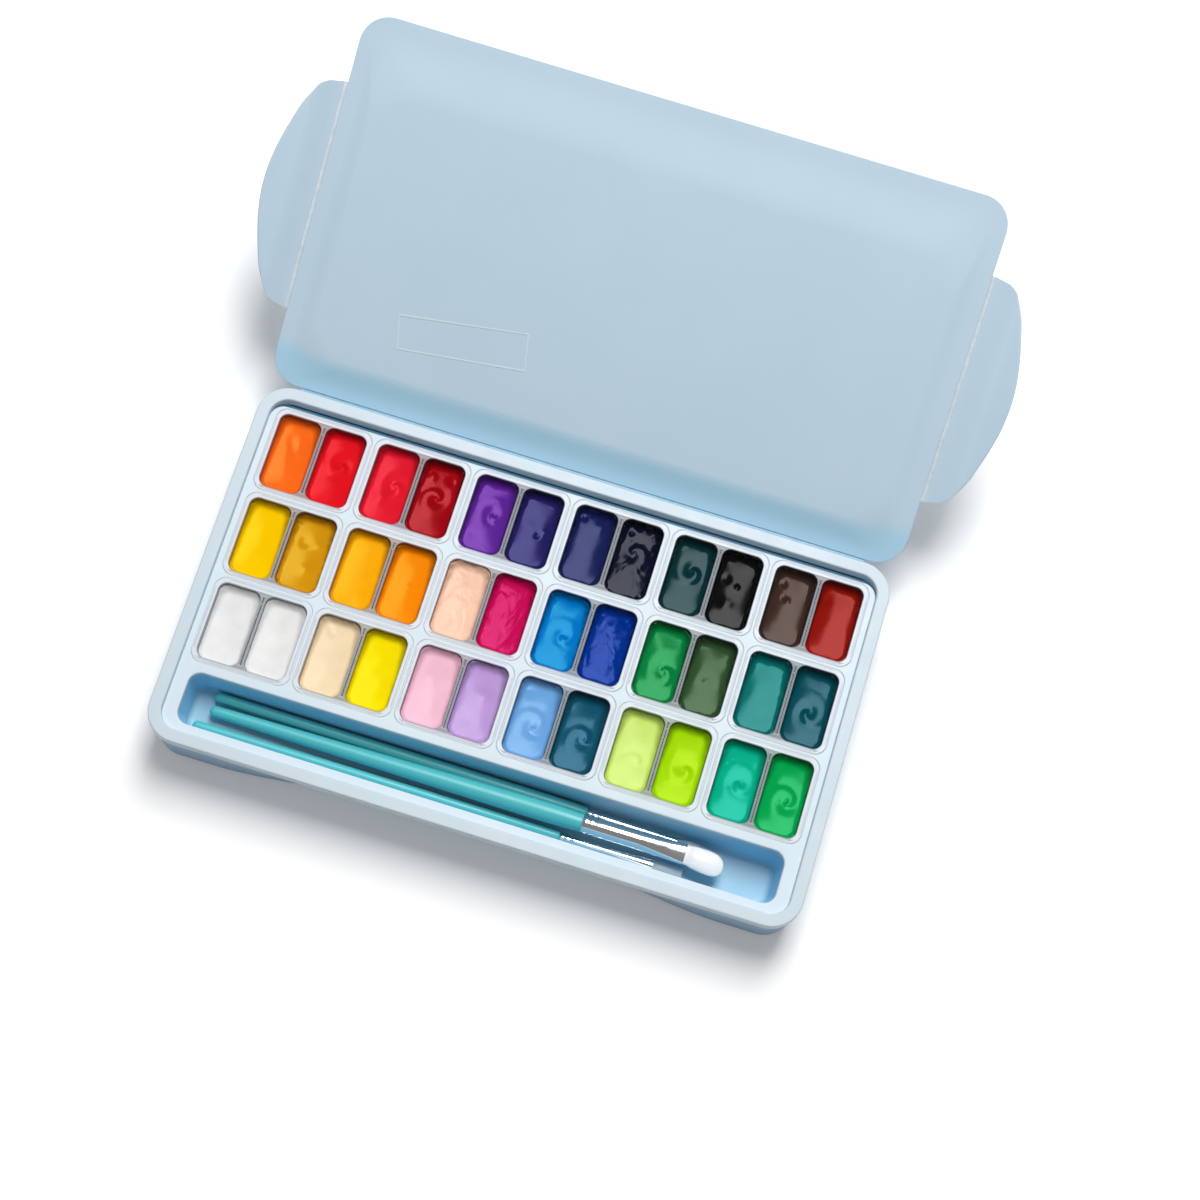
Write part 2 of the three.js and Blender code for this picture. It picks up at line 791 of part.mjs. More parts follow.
const lidHingeLength = 2 * (lidHalfLength - hingeInset);
const lidHinge = addPiece(box, "lid_hinge_web", makeHingeBead(lidHingeLength), hingeWhite);
lidHinge.position.set(0, hingeAxisY, hingeAxisZ);
lidHinge.rotation.z = Math.PI / 2;

// Everything on the lid is placed in its own frame: +Y away from the hinge and +Z out of its inner face.
const lid = new THREE.Group();
lid.position.set(0, hingeAxisY, hingeAxisZ);
lid.rotation.x = THREE.MathUtils.degToRad(lidOpenAngle);
box.add(lid);
addPiece(lid, "lid_panel", makeLidPanel(), paleBlue);

for (const [name, side] of [
  ["left", -1],
  ["right", 1],
]) {
  const wingHinge = new THREE.Group();
  wingHinge.position.set(side * wingHingeX, (lidNearEdge + lidDepth) / 2, lidMiddle);
  lid.add(wingHinge);
  addPiece(wingHinge, `${name}_wing_hinge_web`, makeHingeBead(wingLength), hingeWhite);
  const wing = addPiece(wingHinge, `${name}_wing`, makeWing(), paleBlue);
  const out = new THREE.Vector3(side, 0, 0);
  const inward = new THREE.Vector3(0, 0, 1);
  const along = out.clone().cross(inward);
  wing.quaternion.setFromRotationMatrix(new THREE.Matrix4().makeBasis(out, inward, along));
}

export default box;
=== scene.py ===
# %% [markdown]
# A gouache paint set box, open on a table.
#
# The real box is a shallow case moulded in pale blue plastic. A tray drops into it and carries eighteen
# frosted twin cups, each with two gouache colours, and a trough for three brushes. A thin lid with two
# latch wings is moulded on at the back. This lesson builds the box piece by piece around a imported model,
# the frame, which already says where each piece is and how it moves.

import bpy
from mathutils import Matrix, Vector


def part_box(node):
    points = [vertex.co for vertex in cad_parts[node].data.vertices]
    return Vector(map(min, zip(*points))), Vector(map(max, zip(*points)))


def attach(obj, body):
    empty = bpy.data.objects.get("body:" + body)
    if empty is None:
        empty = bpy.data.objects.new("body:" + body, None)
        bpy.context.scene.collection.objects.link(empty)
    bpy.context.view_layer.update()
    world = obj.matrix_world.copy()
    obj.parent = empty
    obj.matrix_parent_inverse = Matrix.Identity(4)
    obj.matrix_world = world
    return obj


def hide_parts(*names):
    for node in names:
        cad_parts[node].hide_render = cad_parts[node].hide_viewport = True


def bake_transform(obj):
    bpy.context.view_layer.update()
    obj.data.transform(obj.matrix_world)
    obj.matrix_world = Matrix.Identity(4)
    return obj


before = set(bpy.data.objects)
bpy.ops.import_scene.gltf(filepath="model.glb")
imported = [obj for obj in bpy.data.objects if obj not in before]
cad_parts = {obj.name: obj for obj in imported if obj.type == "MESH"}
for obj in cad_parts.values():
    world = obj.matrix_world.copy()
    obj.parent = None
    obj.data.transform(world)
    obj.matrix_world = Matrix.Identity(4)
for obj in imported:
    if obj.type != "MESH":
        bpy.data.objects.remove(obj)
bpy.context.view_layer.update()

# %% [markdown]
# The frame is in metres, but a box maker thinks in millimetres, so every size below is in millimetres and
# becomes metres only when a mesh is finished. Sizes that the frame knows are measured on it, and the rest
# are the named sizes that the frame was designed with.

# %% Measure the case and the tray on the frame
import math

import bmesh
import bpy
from mathutils import Matrix, Vector, noise

mm = 0.001
rim_height = 5.5
trough_depth = 18


def corners(node):
    """Lowest and highest corner of a node of the frame, in millimetres."""
    low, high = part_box(node)
    return low / mm, high / mm


def put_in_scene(name, data):
    """A new object in the scene, made of its data."""
    thing = bpy.data.objects.new(name, data)
    bpy.context.scene.collection.objects.link(thing)
    return thing


case_half_x, case_half_y, case_height = corners("base_shell")[1]
deck_half_x, deck_half_y, deck_top = corners("cup_tray")[1]
rim_underside = case_height - rim_height
trough_floor = deck_top - trough_depth
case_size = (2 * case_half_x, 2 * case_half_y, case_height)
print("case", [round(length, 2) for length in case_size], "mm, deck at", round(deck_top, 2), "mm")

# %% [markdown]
# The camera stands where the photographer stood: almost straight above the box, a little to the front, and
# turned so that the box lies askew in the picture. A long lens keeps the far side of the case nearly as
# large as the near side.

# %% Set up the camera
focal_length_in_pixels = 2467
picture_width_in_pixels = 1200
sensor_width = 36
camera_place = Vector((55.0, -241.0, 965.1))
look_direction = Vector((-0.0335, 0.277, -0.9603))
camera_up = Vector((-0.2932, 0.9158, 0.2744))

camera_data = bpy.data.cameras.new("photographer")
camera_data.sensor_width = sensor_width
camera_data.lens = sensor_width * focal_length_in_pixels / picture_width_in_pixels
camera = put_in_scene("photographer", camera_data)
backward = -look_direction.normalized()
rightward = camera_up.cross(backward).normalized()
upward = backward.cross(rightward)
camera.matrix_world = Matrix.Translation(camera_place * mm) @ Matrix(
    (rightward, upward, backward)
).transposed().to_4x4()
bpy.context.scene.camera = camera
print("lens", round(camera_data.lens, 2), "mm")

# %% [markdown]
# A studio picture of a pale box needs one large soft lamp and a little light from everywhere else. The lamp
# hangs high over the table and somewhat behind the box, so the lid, which leans towards the front, is darker
# than the flat rim, and every cup's back wall throws a soft shade on its paint. The same lamp is what the wet
# paint mirrors in the middle of each well. The world around is a plain dim white, so what the curved edges
# of the paint mirror stays dark.

# %% Light the box
fill_strength = 0.225
world = bpy.data.worlds.new("studio")
world.use_nodes = True
bpy.context.scene.world = world
world.node_tree.nodes["Background"].inputs["Color"].default_value = (1, 1, 1, 1)
world.node_tree.nodes["Background"].inputs["Strength"].default_value = fill_strength

lamp_lean_back = math.radians(25)
lamp_lean_right = math.radians(2)
lamp_distance = 1900
lamp_width = 700
lamp_depth = 1100
lamp_power = 32.5
lamp_data = bpy.data.lights.new("softbox", "AREA")
lamp_data.shape = "RECTANGLE"
lamp_data.size = lamp_width * mm
lamp_data.size_y = lamp_depth * mm
lamp_data.energy = lamp_power
lamp = put_in_scene("softbox", lamp_data)
towards_lamp = Vector((math.tan(lamp_lean_right), math.tan(lamp_lean_back), 1)).normalized()
lamp.location = towards_lamp * lamp_distance * mm
lamp.rotation_euler = towards_lamp.to_track_quat("Z", "Y").to_euler()
lamp.visible_camera = False
bpy.context.scene.view_settings.view_transform = "Standard"
print("softbox", lamp_width, "x", lamp_depth, "mm, fill", fill_strength)

# %% [markdown]
# A finish starts as one principled shader. Constant numbers stay on its sockets, and nodes only drive what
# changes over the surface: colour, roughness and the small relief that a mould, a brush or drying leaves.
# Colours are written as six hex digits, as a maker reads them off a swatch.

# %% Helpers for finishes
noise_low = 0.3
noise_high = 0.7
white = (1.0, 1.0, 1.0, 1.0)


def swatch(code):
    """A swatch colour of six hex digits as the linear colour that a shader wants."""
    channels = [int(code[start : start + 2], 16) / 255 for start in (0, 2, 4)]
    linear = [c / 12.92 if c <= 0.04045 else ((c + 0.055) / 1.055) ** 2.4 for c in channels]
    return (*linear, 1.0)


def tinted(colour, factor):
    """The same colour, lighter or darker."""
    return (*[min(1.0, channel * factor) for channel in colour[:3]], 1.0)


def new_finish(name, colour, **sockets):
    """A material with a principled shader, whose sockets take the given constants."""
    material = bpy.data.materials.new(name)
    material.use_nodes = True
    shader = material.node_tree.nodes["Principled BSDF"]
    shader.inputs["Base Color"].default_value = colour
    for socket, value in sockets.items():
        shader.inputs[socket.replace("_", " ")].default_value = value
    return material, material.node_tree, shader


def spread_over(tree, value, start, end, low=0.0, high=1.0):
    """A number that runs from low to high while the value runs from start to end."""
    spread = tree.nodes.new("ShaderNodeMapRange")
    for socket, limit in (("From Min", start), ("From Max", end), ("To Min", low), ("To Max", high)):
        spread.inputs[socket].default_value = limit
    tree.links.new(value, spread.inputs["Value"])
    return spread.outputs[0]


print("helpers for finishes ready")

# %% Helpers for clouds, streaks and relief
def noise_over(tree, scale, detail=2.0, stretch=(1, 1, 1)):
    """Noise over the piece, with blotches of about 1/scale metres, and its height as a socket."""
    place = tree.nodes.new("ShaderNodeTexCoord")
    mapping = tree.nodes.new("ShaderNodeMapping")
    mapping.inputs["Scale"].default_value = stretch
    blotches = tree.nodes.new("ShaderNodeTexNoise")
    blotches.inputs["Scale"].default_value = scale
    blotches.inputs["Detail"].default_value = detail
    tree.links.new(place.outputs["Object"], mapping.inputs["Vector"])
    tree.links.new(mapping.outputs["Vector"], blotches.inputs["Vector"])
    return blotches.outputs["Fac"]


def cloud_colour(tree, height, low, high=white):
    """A colour that runs from low to high with the noise."""
    ramp = tree.nodes.new("ShaderNodeValToRGB")
    for number, position, colour in ((0, noise_low, low), (1, noise_high, high)):
        ramp.color_ramp.elements[number].position = position
        ramp.color_ramp.elements[number].color = colour
    tree.links.new(height, ramp.inputs["Fac"])
    return ramp.outputs["Color"]


def vary_colour(tree, shader, height, low, high):
    """The base colour runs from low to high with the noise."""
    tree.links.new(cloud_colour(tree, height, low, high), shader.inputs["Base Color"])


def vary_roughness(tree, shader, height, low, high):
    """The roughness runs from low to high with the noise."""
    tree.links.new(spread_over(tree, height, noise_low, noise_high, low, high), shader.inputs["Roughness"])


def multiply_colours(tree, shader, one, other):
    """The base colour is the product of two colours."""
    product = tree.nodes.new("ShaderNodeMixRGB")
    product.blend_type = "MULTIPLY"
    product.inputs["Fac"].default_value = 1.0
    tree.links.new(one, product.inputs["Color1"])
    tree.links.new(other, product.inputs["Color2"])
    tree.links.new(product.outputs["Color"], shader.inputs["Base Color"])


def add_relief(tree, shader, height, depth, under=None):
    """Small relief of a depth in millimetres, laid over an earlier one."""
    bump = tree.nodes.new("ShaderNodeBump")
    bump.inputs["Strength"].default_value = 1.0
    bump.inputs["Distance"].default_value = depth * mm
    tree.links.new(height, bump.inputs["Height"])
    if under is not None:
        tree.links.new(under, bump.inputs["Normal"])
    tree.links.new(bump.outputs["Normal"], shader.inputs["Normal"])
    return bump.outputs["Normal"]


print("helpers for clouds, streaks and relief ready")

# %% [markdown]
# The floor is a huge shallow bowl of white paper, so that it also closes the background from low angles. A
# trace of glow, which only the camera, mirrors and clear plastic see, lifts the lit paper to pure white and
# leaves the shadow of the box in it. Far from the lamp the glow takes over, so the paper stays white
# without more light on the box.

# %% Lay the floor
floor_profile = ((700, 0), (1500, 0), (3000, 0), (8000, 0), (14000, 500), (18000, 2500), (20000, 7000))
floor_sides = 64
near_glow = 0.155
far_glow = 0.86
near_glow_reach = 200
far_glow_reach = 1400


def combined(tree, operation, one, other):
    """What an operation makes of two numbers."""
    both = tree.nodes.new("ShaderNodeMath")
    both.operation = operation
    tree.links.new(one, both.inputs[0])
    tree.links.new(other, both.inputs[1])
    return both.outputs[0]


def light_path_seen(tree):
    """A number that is 1 where the camera, a mirror or clear plastic looks at something, and 0 elsewhere."""
    path = tree.nodes.new("ShaderNodeLightPath")
    seen = path.outputs["Is Camera Ray"]
    for other in ("Is Glossy Ray", "Is Transmission Ray"):
        seen = combined(tree, "MAXIMUM", seen, path.outputs[other])
    return seen


floor_mesh = bmesh.new()
floor_rows = []
for reach, z in floor_profile:
    turn = 2 * math.pi / floor_sides
    ring = [Vector((reach * math.cos(s * turn), reach * math.sin(s * turn), z)) for s in range(floor_sides)]
    floor_rows.append([floor_mesh.verts.new(point * mm) for point in ring])
floor_mesh.faces.new(floor_rows[0])
for low_row, high_row in zip(floor_rows, floor_rows[1:]):
    for here in range(floor_sides):
        after = (here + 1) % floor_sides
        floor_mesh.faces.new((low_row[here], high_row[here], high_row[after], low_row[after]))
floor_data = bpy.data.meshes.new("floor")
floor_mesh.to_mesh(floor_data)
floor_mesh.free()
floor = put_in_scene("floor", floor_data)

paper, paper_tree, paper_shader = new_finish(
    "white_paper", (0.95, 0.95, 0.95, 1), Roughness=0.9, Specular_IOR_Level=0.0, Emission_Color=white
)
paper_place = paper_tree.nodes.new("ShaderNodeTexCoord")
paper_reach = paper_tree.nodes.new("ShaderNodeVectorMath")
paper_reach.operation = "LENGTH"
paper_tree.links.new(paper_place.outputs["Object"], paper_reach.inputs[0])
glow_by_reach = spread_over(
    paper_tree, paper_reach.outputs["Value"], near_glow_reach * mm, far_glow_reach * mm, near_glow, far_glow
)
glow = combined(paper_tree, "MULTIPLY", light_path_seen(paper_tree), glow_by_reach)
paper_tree.links.new(glow, paper_shader.inputs["Emission Strength"])
floor_data.materials.append(paper)
print("floor laid, up to", floor_profile[-1][0], "mm away")

# %% [markdown]
# Case, tray and lid are one soft plastic, polypropylene, the only common plastic that can be moulded with a
# hinge that bends for years. It is satin, never glassy. Its colour is even, with hardly any cloudiness, and
# its skin has the fine tooth of a spark-eroded mould. Walls and hollows in shade, and walls lit by light
# bounced off the blue plastic, look deeper blue than the top faces. That shade and bounce light is painted
# into the colour, in one blend over the height for the case, the tray and the lid.

# %% The pale blue plastic
def painted_shade_by_height(tree, shader, cloud, stops):
    """Painted shade and bounce light: the colour follows the height through stops (height in mm, swatch
    code), with a faint cloudiness.
    """
    place = tree.nodes.new("ShaderNodeTexCoord")
    axes = tree.nodes.new("ShaderNodeSeparateXYZ")
    tree.links.new(place.outputs["Object"], axes.inputs[0])
    lowest = stops[0][0]
    highest = stops[-1][0]
    by_height = tree.nodes.new("ShaderNodeValToRGB")
    by_height.color_ramp.interpolation = "EASE"
    for number, (height, code) in enumerate(stops):
        position = (height - lowest) / (highest - lowest)
        if 0 < number < len(stops) - 1:
            by_height.color_ramp.elements.new(position)
        by_height.color_ramp.elements[number].color = swatch(code)
    share = spread_over(tree, axes.outputs["Z"], lowest * mm, highest * mm)
    tree.links.new(share, by_height.inputs["Fac"])
    greys = cloud_colour(tree, cloud, (0.975, 0.98, 0.985, 1))
    multiply_colours(tree, shader, by_height.outputs["Color"], greys)


def blue_plastic(name, code, roughness, stops=None, wave=0.0):
    """Satin polypropylene with a fine mould tooth, in one colour or with painted shade and bounce light in
    stops over its height.
    """
    colour = swatch(code)
    material, tree, shader = new_finish(
        name, colour, IOR=1.49, Roughness=roughness, Specular_IOR_Level=0.4
    )
    cloud = noise_over(tree, 35, 3)
    if stops:
        painted_shade_by_height(tree, shader, cloud, stops)
    else:
        vary_colour(tree, shader, cloud, tinted(colour, 0.99), tinted(colour, 1.01))
    vary_roughness(tree, shader, noise_over(tree, 120, 4), roughness - 0.04, roughness + 0.05)
    under = add_relief(tree, shader, noise_over(tree, 2600, 2), 0.006)
    if wave:
        add_relief(tree, shader, noise_over(tree, 5, 1), wave, under)
    return material


# Painted shade and bounce light: the case is deeper blue below its rim, the tray deeper and more saturated
# down its trough, and the lid bluer near its hinge.
case_shade_stops = ((rim_underside - 1.5, "8fb4d0"), (rim_underside + 0.2, "cbdae3"))
tray_shade_and_bounce_stops = (
    (trough_floor + 0.3, "9dc8dc"),
    (trough_floor + 3, "93d2f2"),
    (deck_top - 3.5, "93d2f2"),
    (deck_top - 0.4, "d5e4ed"),
)
lid_shade_and_bounce_stops = ((case_height + 3.5, "b0d9f0"), (case_height + 7.5, "c5dcec"))
case_plastic = blue_plastic("case_plastic", "cbdae3", 0.42, case_shade_stops)
tray_plastic = blue_plastic("tray_plastic", "d5e4ed", 0.42, tray_shade_and_bounce_stops)
lid_plastic = blue_plastic("lid_plastic", "c5dcec", 0.45, lid_shade_and_bounce_stops, wave=0.8)
print("made", case_plastic.name, tray_plastic.name, lid_plastic.name)

# %% [markdown]
# Where the plastic is thinned to a living hinge and bent, it turns whitish, because the stretched plastic
# scatters light. So the wings' narrow hinges get a lighter and slightly see-through finish of their own. The
# lid's wide hinge lies deep in the gap behind the rim, in shade, so its colour is painted darker and bluer
# as painted shade.

# %% The whitened hinge plastic
def hinge_finish(name, low, high):
    """Thin bent plastic with streaks across the hinge."""
    material, tree, shader = new_finish(name, swatch(high), Roughness=0.4, IOR=1.49, Transmission_Weight=0.1)
    vary_colour(tree, shader, noise_over(tree, 300, 2), swatch(low), swatch(high))
    vary_roughness(tree, shader, noise_over(tree, 200, 2), 0.36, 0.46)
    add_relief(tree, shader, noise_over(tree, 1400, 2, (0.1, 1, 1)), 0.02)
    return material


hinge_plastic = hinge_finish("hinge_plastic", "d6e2ea", "e8f0f5")
# The wide hinge's darker, bluer colour is painted shade from the gap behind the rim.
wide_hinge_plastic = hinge_finish("wide_hinge_plastic", "8cb7ce", "9bc4da")
print("made", hinge_plastic.name, wide_hinge_plastic.name)

# %% [markdown]
# Nearly every piece of the box is a rounded rectangle that changes with height, as moulded things are. So
# the main tool is a skin: a row of rings with equally many points, stitched into quads. Meshes are built
# in bmesh in millimetres, and shaded smooth with their real corners kept sharp.

# %% Helpers for outlines and rings
def even_shares(steps):
    """Shares from 0 to 1 in even steps."""
    return [step / steps for step in range(steps + 1)]


def rounded_outline(half_x, half_y, radius, steps, centre=(0.0, 0.0)):
    """A rectangle with rounded corners, counter-clockwise from its front right corner."""
    points = []
    for corner, (side_x, side_y) in enumerate(((1, -1), (1, 1), (-1, 1), (-1, -1))):
        for share in even_shares(steps):
            angle = (corner - 1 + share) * math.pi / 2
            x = centre[0] + side_x * (half_x - radius) + radius * math.cos(angle)
            y = centre[1] + side_y * (half_y - radius) + radius * math.sin(angle)
            points.append((x, y))
    return points


def at_height(outline, z):
    """An outline as a ring of points at one height."""
    return [Vector((x, y, z)) for x, y in outline]


def grown_ring(size, grow, z, centre=(0.0, 0.0), steps=8):
    """A ring at one height, from half a length, half a width and a corner, and grown all round."""
    half_x, half_y, corner = size
    return at_height(rounded_outline(half_x + grow, half_y + grow, corner + grow, steps, centre), z)


def smooth_share(share):
    """A share from 0 to 1 that starts and ends gently."""
    share = min(1.0, max(0.0, share))
    return share * share * (3 - 2 * share)


def quarter_turn(steps):
    """One minus the cosine and one minus the sine over a quarter turn, for every rounded edge."""
    angles = [share * math.pi / 2 for share in even_shares(steps)]
    return [(1 - math.cos(angle), 1 - math.sin(angle)) for angle in angles]


def quarter_round(inset, height, radius, steps):
    """Insets and heights round an edge, from a wall below it to the top surface."""
    return [(inset + radius * drawn_in, height - radius * down) for drawn_in, down in quarter_turn(steps)]


print("helpers for outlines and rings ready")

# %% Helpers for meshes
def add_skin(mesh, rings):
    """Stitches rings with equally many points into quads, and returns their rows of mesh corners."""
    rows = [[mesh.verts.new(point) for point in ring] for ring in rings]
    for low, high in zip(rows, rows[1:]):
        for here in range(len(low)):
            after = (here + 1) % len(low)
            mesh.faces.new((low[here], low[after], high[after], high[here]))
    return rows


def add_closed_skin(mesh, rings):
    """A skin with both of its ends closed."""
    rows = add_skin(mesh, rings)
    mesh.faces.new(rows[0][::-1])
    mesh.faces.new(rows[-1])


def add_plate(mesh, rows):
    """Fills the flat area between closed rows of corners, one outside and the others its holes."""
    edges = []
    for row in rows:
        for here, corner in enumerate(row):
            after = row[(here + 1) % len(row)]
            edge = mesh.edges.get((corner, after))
            edges.append(edge or mesh.edges.new((corner, after)))
    bmesh.ops.triangle_fill(mesh, use_beauty=True, edges=edges)


def even_normals(piece):
    """Large faces decide how a piece is shaded, so the small faces of its roundings don't bend them."""
    normals = piece.modifiers.new("even_normals", "WEIGHTED_NORMAL")
    normals.keep_sharp = True


def make_piece(name, mesh, finish, sharp_angle=38, even=True):
    """A finished piece from a mesh in millimetres, with all of its faces turned outwards."""
    bmesh.ops.recalc_face_normals(mesh, faces=mesh.faces)
    bmesh.ops.scale(mesh, vec=(mm, mm, mm), verts=mesh.verts)
    data = bpy.data.meshes.new(name)
    mesh.to_mesh(data)
    mesh.free()
    data.shade_smooth()
    data.set_sharp_from_angle(angle=math.radians(sharp_angle))
    data.materials.append(finish)
    piece = put_in_scene(name, data)
    if even:
        even_normals(piece)
    return piece


print("helpers for meshes ready")

# %% [markdown]
# The case is one skin: up the outside from the foot, out under the rim, over the rim and down inside to the
# floor. Low in the front wall the skin is pushed in by a wave, so that a finger finds the edge. A solid
# with modifiers could do it too, but the rings give exact edge roundings, and an edge rounding is what
# catches the light on plastic.

# %% Measure the case's sections
rim_width = 5.2
rim_round = 0.6
rim_inner_round = 0.7
wall_inset = 1.2
wall_thickness = 1.8
floor_thickness = 1.8
foot_round = 1.2
edge_round = 0.4
case_corner = 13
scoop_depth = 5.5
scoop_flat = 80
scoop_ramp = 65
corner_steps = 14
front_steps = 60
outer_wall_heights = (6, 11, 16, 20)
inner_wall_heights = (20, 14, 8)
inner_inset = wall_inset + wall_thickness


def scoop_push(x, z):
    """How far the wave pushes the front wall in at a place."""
    along = smooth_share((scoop_flat / 2 + scoop_ramp - abs(x)) / scoop_ramp)
    upward_fade = min(1.0, max(0.0, 1 - z / rim_underside))
    return scoop_depth * upward_fade * along


def case_ring(inset, z):
    """One ring of the case, drawn in from its outermost outline."""
    half_x = case_half_x - inset
    half_y = case_half_y - inset
    radius = max(case_corner - inset, wall_thickness)
    outline = rounded_outline(half_x, half_y, radius, corner_steps)
    straight = half_x - radius
    outline += [(straight * (2 * step / front_steps - 1), -half_y) for step in range(1, front_steps)]
    return [Vector((x, y + scoop_push(x, z) if y < 0 else y, z)) for x, y in outline]


print("rim from", round(rim_underside, 2), "to", round(case_height, 2), "mm")

# %% Build the case
foot_edge = quarter_round(wall_inset, foot_round, foot_round, 5)
inner_edge = quarter_round(0, case_height, rim_inner_round, 7)
case_profile = [(inset, foot_round - z) for inset, z in foot_edge[::-1]]
case_profile += [(wall_inset, z) for z in outer_wall_heights]
case_profile += [(wall_inset, rim_underside), (edge_round, rim_underside), (0, rim_underside + edge_round)]
case_profile += quarter_round(0, case_height, rim_round, 9)
case_profile += [(rim_width - inset, z) for inset, z in inner_edge[::-1]]
case_profile += [(rim_width, rim_underside), (inner_inset, rim_underside - wall_thickness / 2)]
case_profile += [(inner_inset, z) for z in inner_wall_heights]
case_profile += [(inner_inset, floor_thickness + foot_round), (inner_inset + foot_round, floor_thickness)]
case_mesh = bmesh.new()
add_closed_skin(case_mesh, [case_ring(inset, z) for inset, z in case_profile])
case = make_piece("case", case_mesh, case_plastic)
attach(case, "case")
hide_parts("base_shell")
print("case:", len(case.data.polygons), "faces")

# %% [markdown]
# The tray's deck is a flat plate with eighteen shallow seats and the brush trough let into it. Each hollow
# is a skin of its own that starts with a ring at deck height, and one plate with holes then joins them.
# That keeps every edge rounding clean, where a boolean cut would leave ragged corners for the bevels.

# %% Measure the cups' places
deck_thickness = 2.4
tray_wall = 1.2
cup_clearance = 0.2
flange_spread = 0.19
cup_flange = 0.9
cup_seat = 0.2
cup_lip = 1.95
cup_wall = 0.9
cup_divider = 2
cup_floor = 1
cup_draft = 1.3
flange_corner = 5
well_corner = 3.6
window_clearance = 0.3
cup_rows = 3
cup_columns = 6
cup_names = sorted(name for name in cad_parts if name.startswith("twin_cup_"))
cup_centres = {}
for cup_name in cup_names:
    low, high = corners(cup_name)
    cup_centres[cup_name] = ((low.x + high.x) / 2, (low.y + high.y) / 2)
cup_low, cup_high = corners(cup_names[0])
flange_half_x = (cup_high.x - cup_low.x) / 2
flange_half_y = (cup_high.y - cup_low.y) / 2
cup_bottom = cup_low.z
cup_depth = deck_top - cup_bottom
well_half_x = (2 * (flange_half_x - cup_lip) - cup_divider) / 4
well_half_y = flange_half_y - cup_lip
well_centre = well_half_x + cup_divider / 2
recess_floor = deck_top - cup_flange - cup_seat
deck_underside = deck_top - deck_thickness
print(len(cup_names), "twin cups, each well", round(2 * well_half_x, 2), "x", round(2 * well_half_y, 2), "mm")

# %% Measure the tray's sections
trough_end_strip = 5.5
trough_front_strip = 3.5
trough_width = 21
trough_corner = 5
trough_draft = 1.6
trough_edge = 0.6
trough_edge_land = 0.5
trough_floor_round = 2.2
seat_edge = 0.06
deck_edge = 0.15
deck_spread = 0.295
deck_corner = case_corner - (case_half_x - deck_half_x)
tray_play = 0.3
leg_gap = 6
leg_ramp = 0.5
leg_sink = 0.2
rear_groove_depth = 2.9
rear_groove_land = 0.3
rear_groove_round = 0.3
rear_groove_shoulder = 0.5
rear_groove_corner = 5.2
trough_half_x = deck_half_x - trough_end_strip
trough_front = -deck_half_y + trough_front_strip
trough_back = trough_front + trough_width
trough_middle = (trough_front + trough_back) / 2
leg_foot = floor_thickness + tray_play
leg_start = trough_back + leg_gap
seats_back = max(y for x, y in cup_centres.values()) + flange_half_y + cup_clearance + seat_edge
rear_groove_width = deck_half_y + deck_spread - seats_back - rear_groove_land
rear_groove_floor = deck_top - rear_groove_depth
print("groove behind the seats:", round(rear_groove_width, 2), "mm wide")

# %% Draw the trough
def edge_down(round_size, steps=4):
    """Offsets and heights over a rounded edge, from the deck's top down into a hollow."""
    return [(round_size * outwards, deck_top - round_size * down) for down, outwards in quarter_turn(steps)]


def trough_ring(z, inset, grow=0.0):
    """One ring of the trough, drawn in from its mouth or grown outwards for its outer skin."""
    half_x = trough_half_x - inset + grow
    half_y = trough_width / 2 - inset + grow
    corner = max(trough_corner - inset / 2 + grow, 1)
    return at_height(rounded_outline(half_x, half_y, corner, 10, (0, trough_middle)), z)


def trough_rings(grow, mouth):
    """The trough from its mouth to its floor: an edge, drafted walls and a rounded foot."""
    rings = [trough_ring(z, -inset, grow) for inset, z in mouth]
    floor_z = trough_floor - grow
    wall_top = mouth[-1][1] - trough_edge_land
    for share in (0.2, 0.4, 0.6, 0.8):
        height = wall_top + (floor_z + trough_floor_round - wall_top) * share
        rings.append(trough_ring(height, trough_draft * share, grow))
    for drawn_in, up in quarter_turn(6):
        height = floor_z + trough_floor_round * up
        rings.append(trough_ring(height, trough_draft + trough_floor_round * drawn_in, grow))
    return rings


print("trough", round(2 * trough_half_x, 2), "x", trough_width, "x", trough_depth, "mm")

# %% Draw a seat and the deck's outline
def seat_rings(centre):
    """A cup's seat: over its edge, down to the shallow floor and through the window."""
    seat = (flange_half_x + cup_clearance, flange_half_y + cup_clearance, flange_corner)
    window_x = 2 * well_half_x + cup_divider / 2 + cup_wall + window_clearance
    window_y = well_half_y + cup_wall + window_clearance
    window = (window_x, window_y, well_corner + cup_wall)
    rings = [grown_ring(seat, offset, z, centre) for offset, z in edge_down(seat_edge)]
    rings.append(grown_ring(seat, 0, recess_floor, centre))
    return rings + [grown_ring(window, 0, z, centre) for z in (recess_floor, deck_underside)]


def deck_outline(inset, back=0.0, back_corner=deck_corner):
    """The deck's outline, with its back edge moved forward, and two more points where its legs start."""
    spread = deck_spread - inset
    side = deck_half_x + spread
    deep = deck_half_y + spread
    whole = rounded_outline(side, deep, deck_corner + spread, corner_steps)
    front = whole[-corner_steps - 1 :] + whole[: corner_steps + 1]
    rear = rounded_outline(side, deep - back / 2, back_corner + spread, corner_steps, (0, -back / 2))
    right = [(side, leg_start), (side, leg_start + leg_ramp)]
    left = [(-x, y) for x, y in right[::-1]]
    return front + right + rear[corner_steps + 1 : -corner_steps - 1] + left


def leg_ring(inset, z, back=0.0):
    """A ring of the leg, which runs all round but at the front."""
    outline = deck_outline(inset, back, rear_groove_corner if back else deck_corner)
    return [Vector((x, y, z if y > leg_start else deck_underside - leg_sink)) for x, y in outline]


print("a seat has", len(seat_rings((0, 0))), "rings")

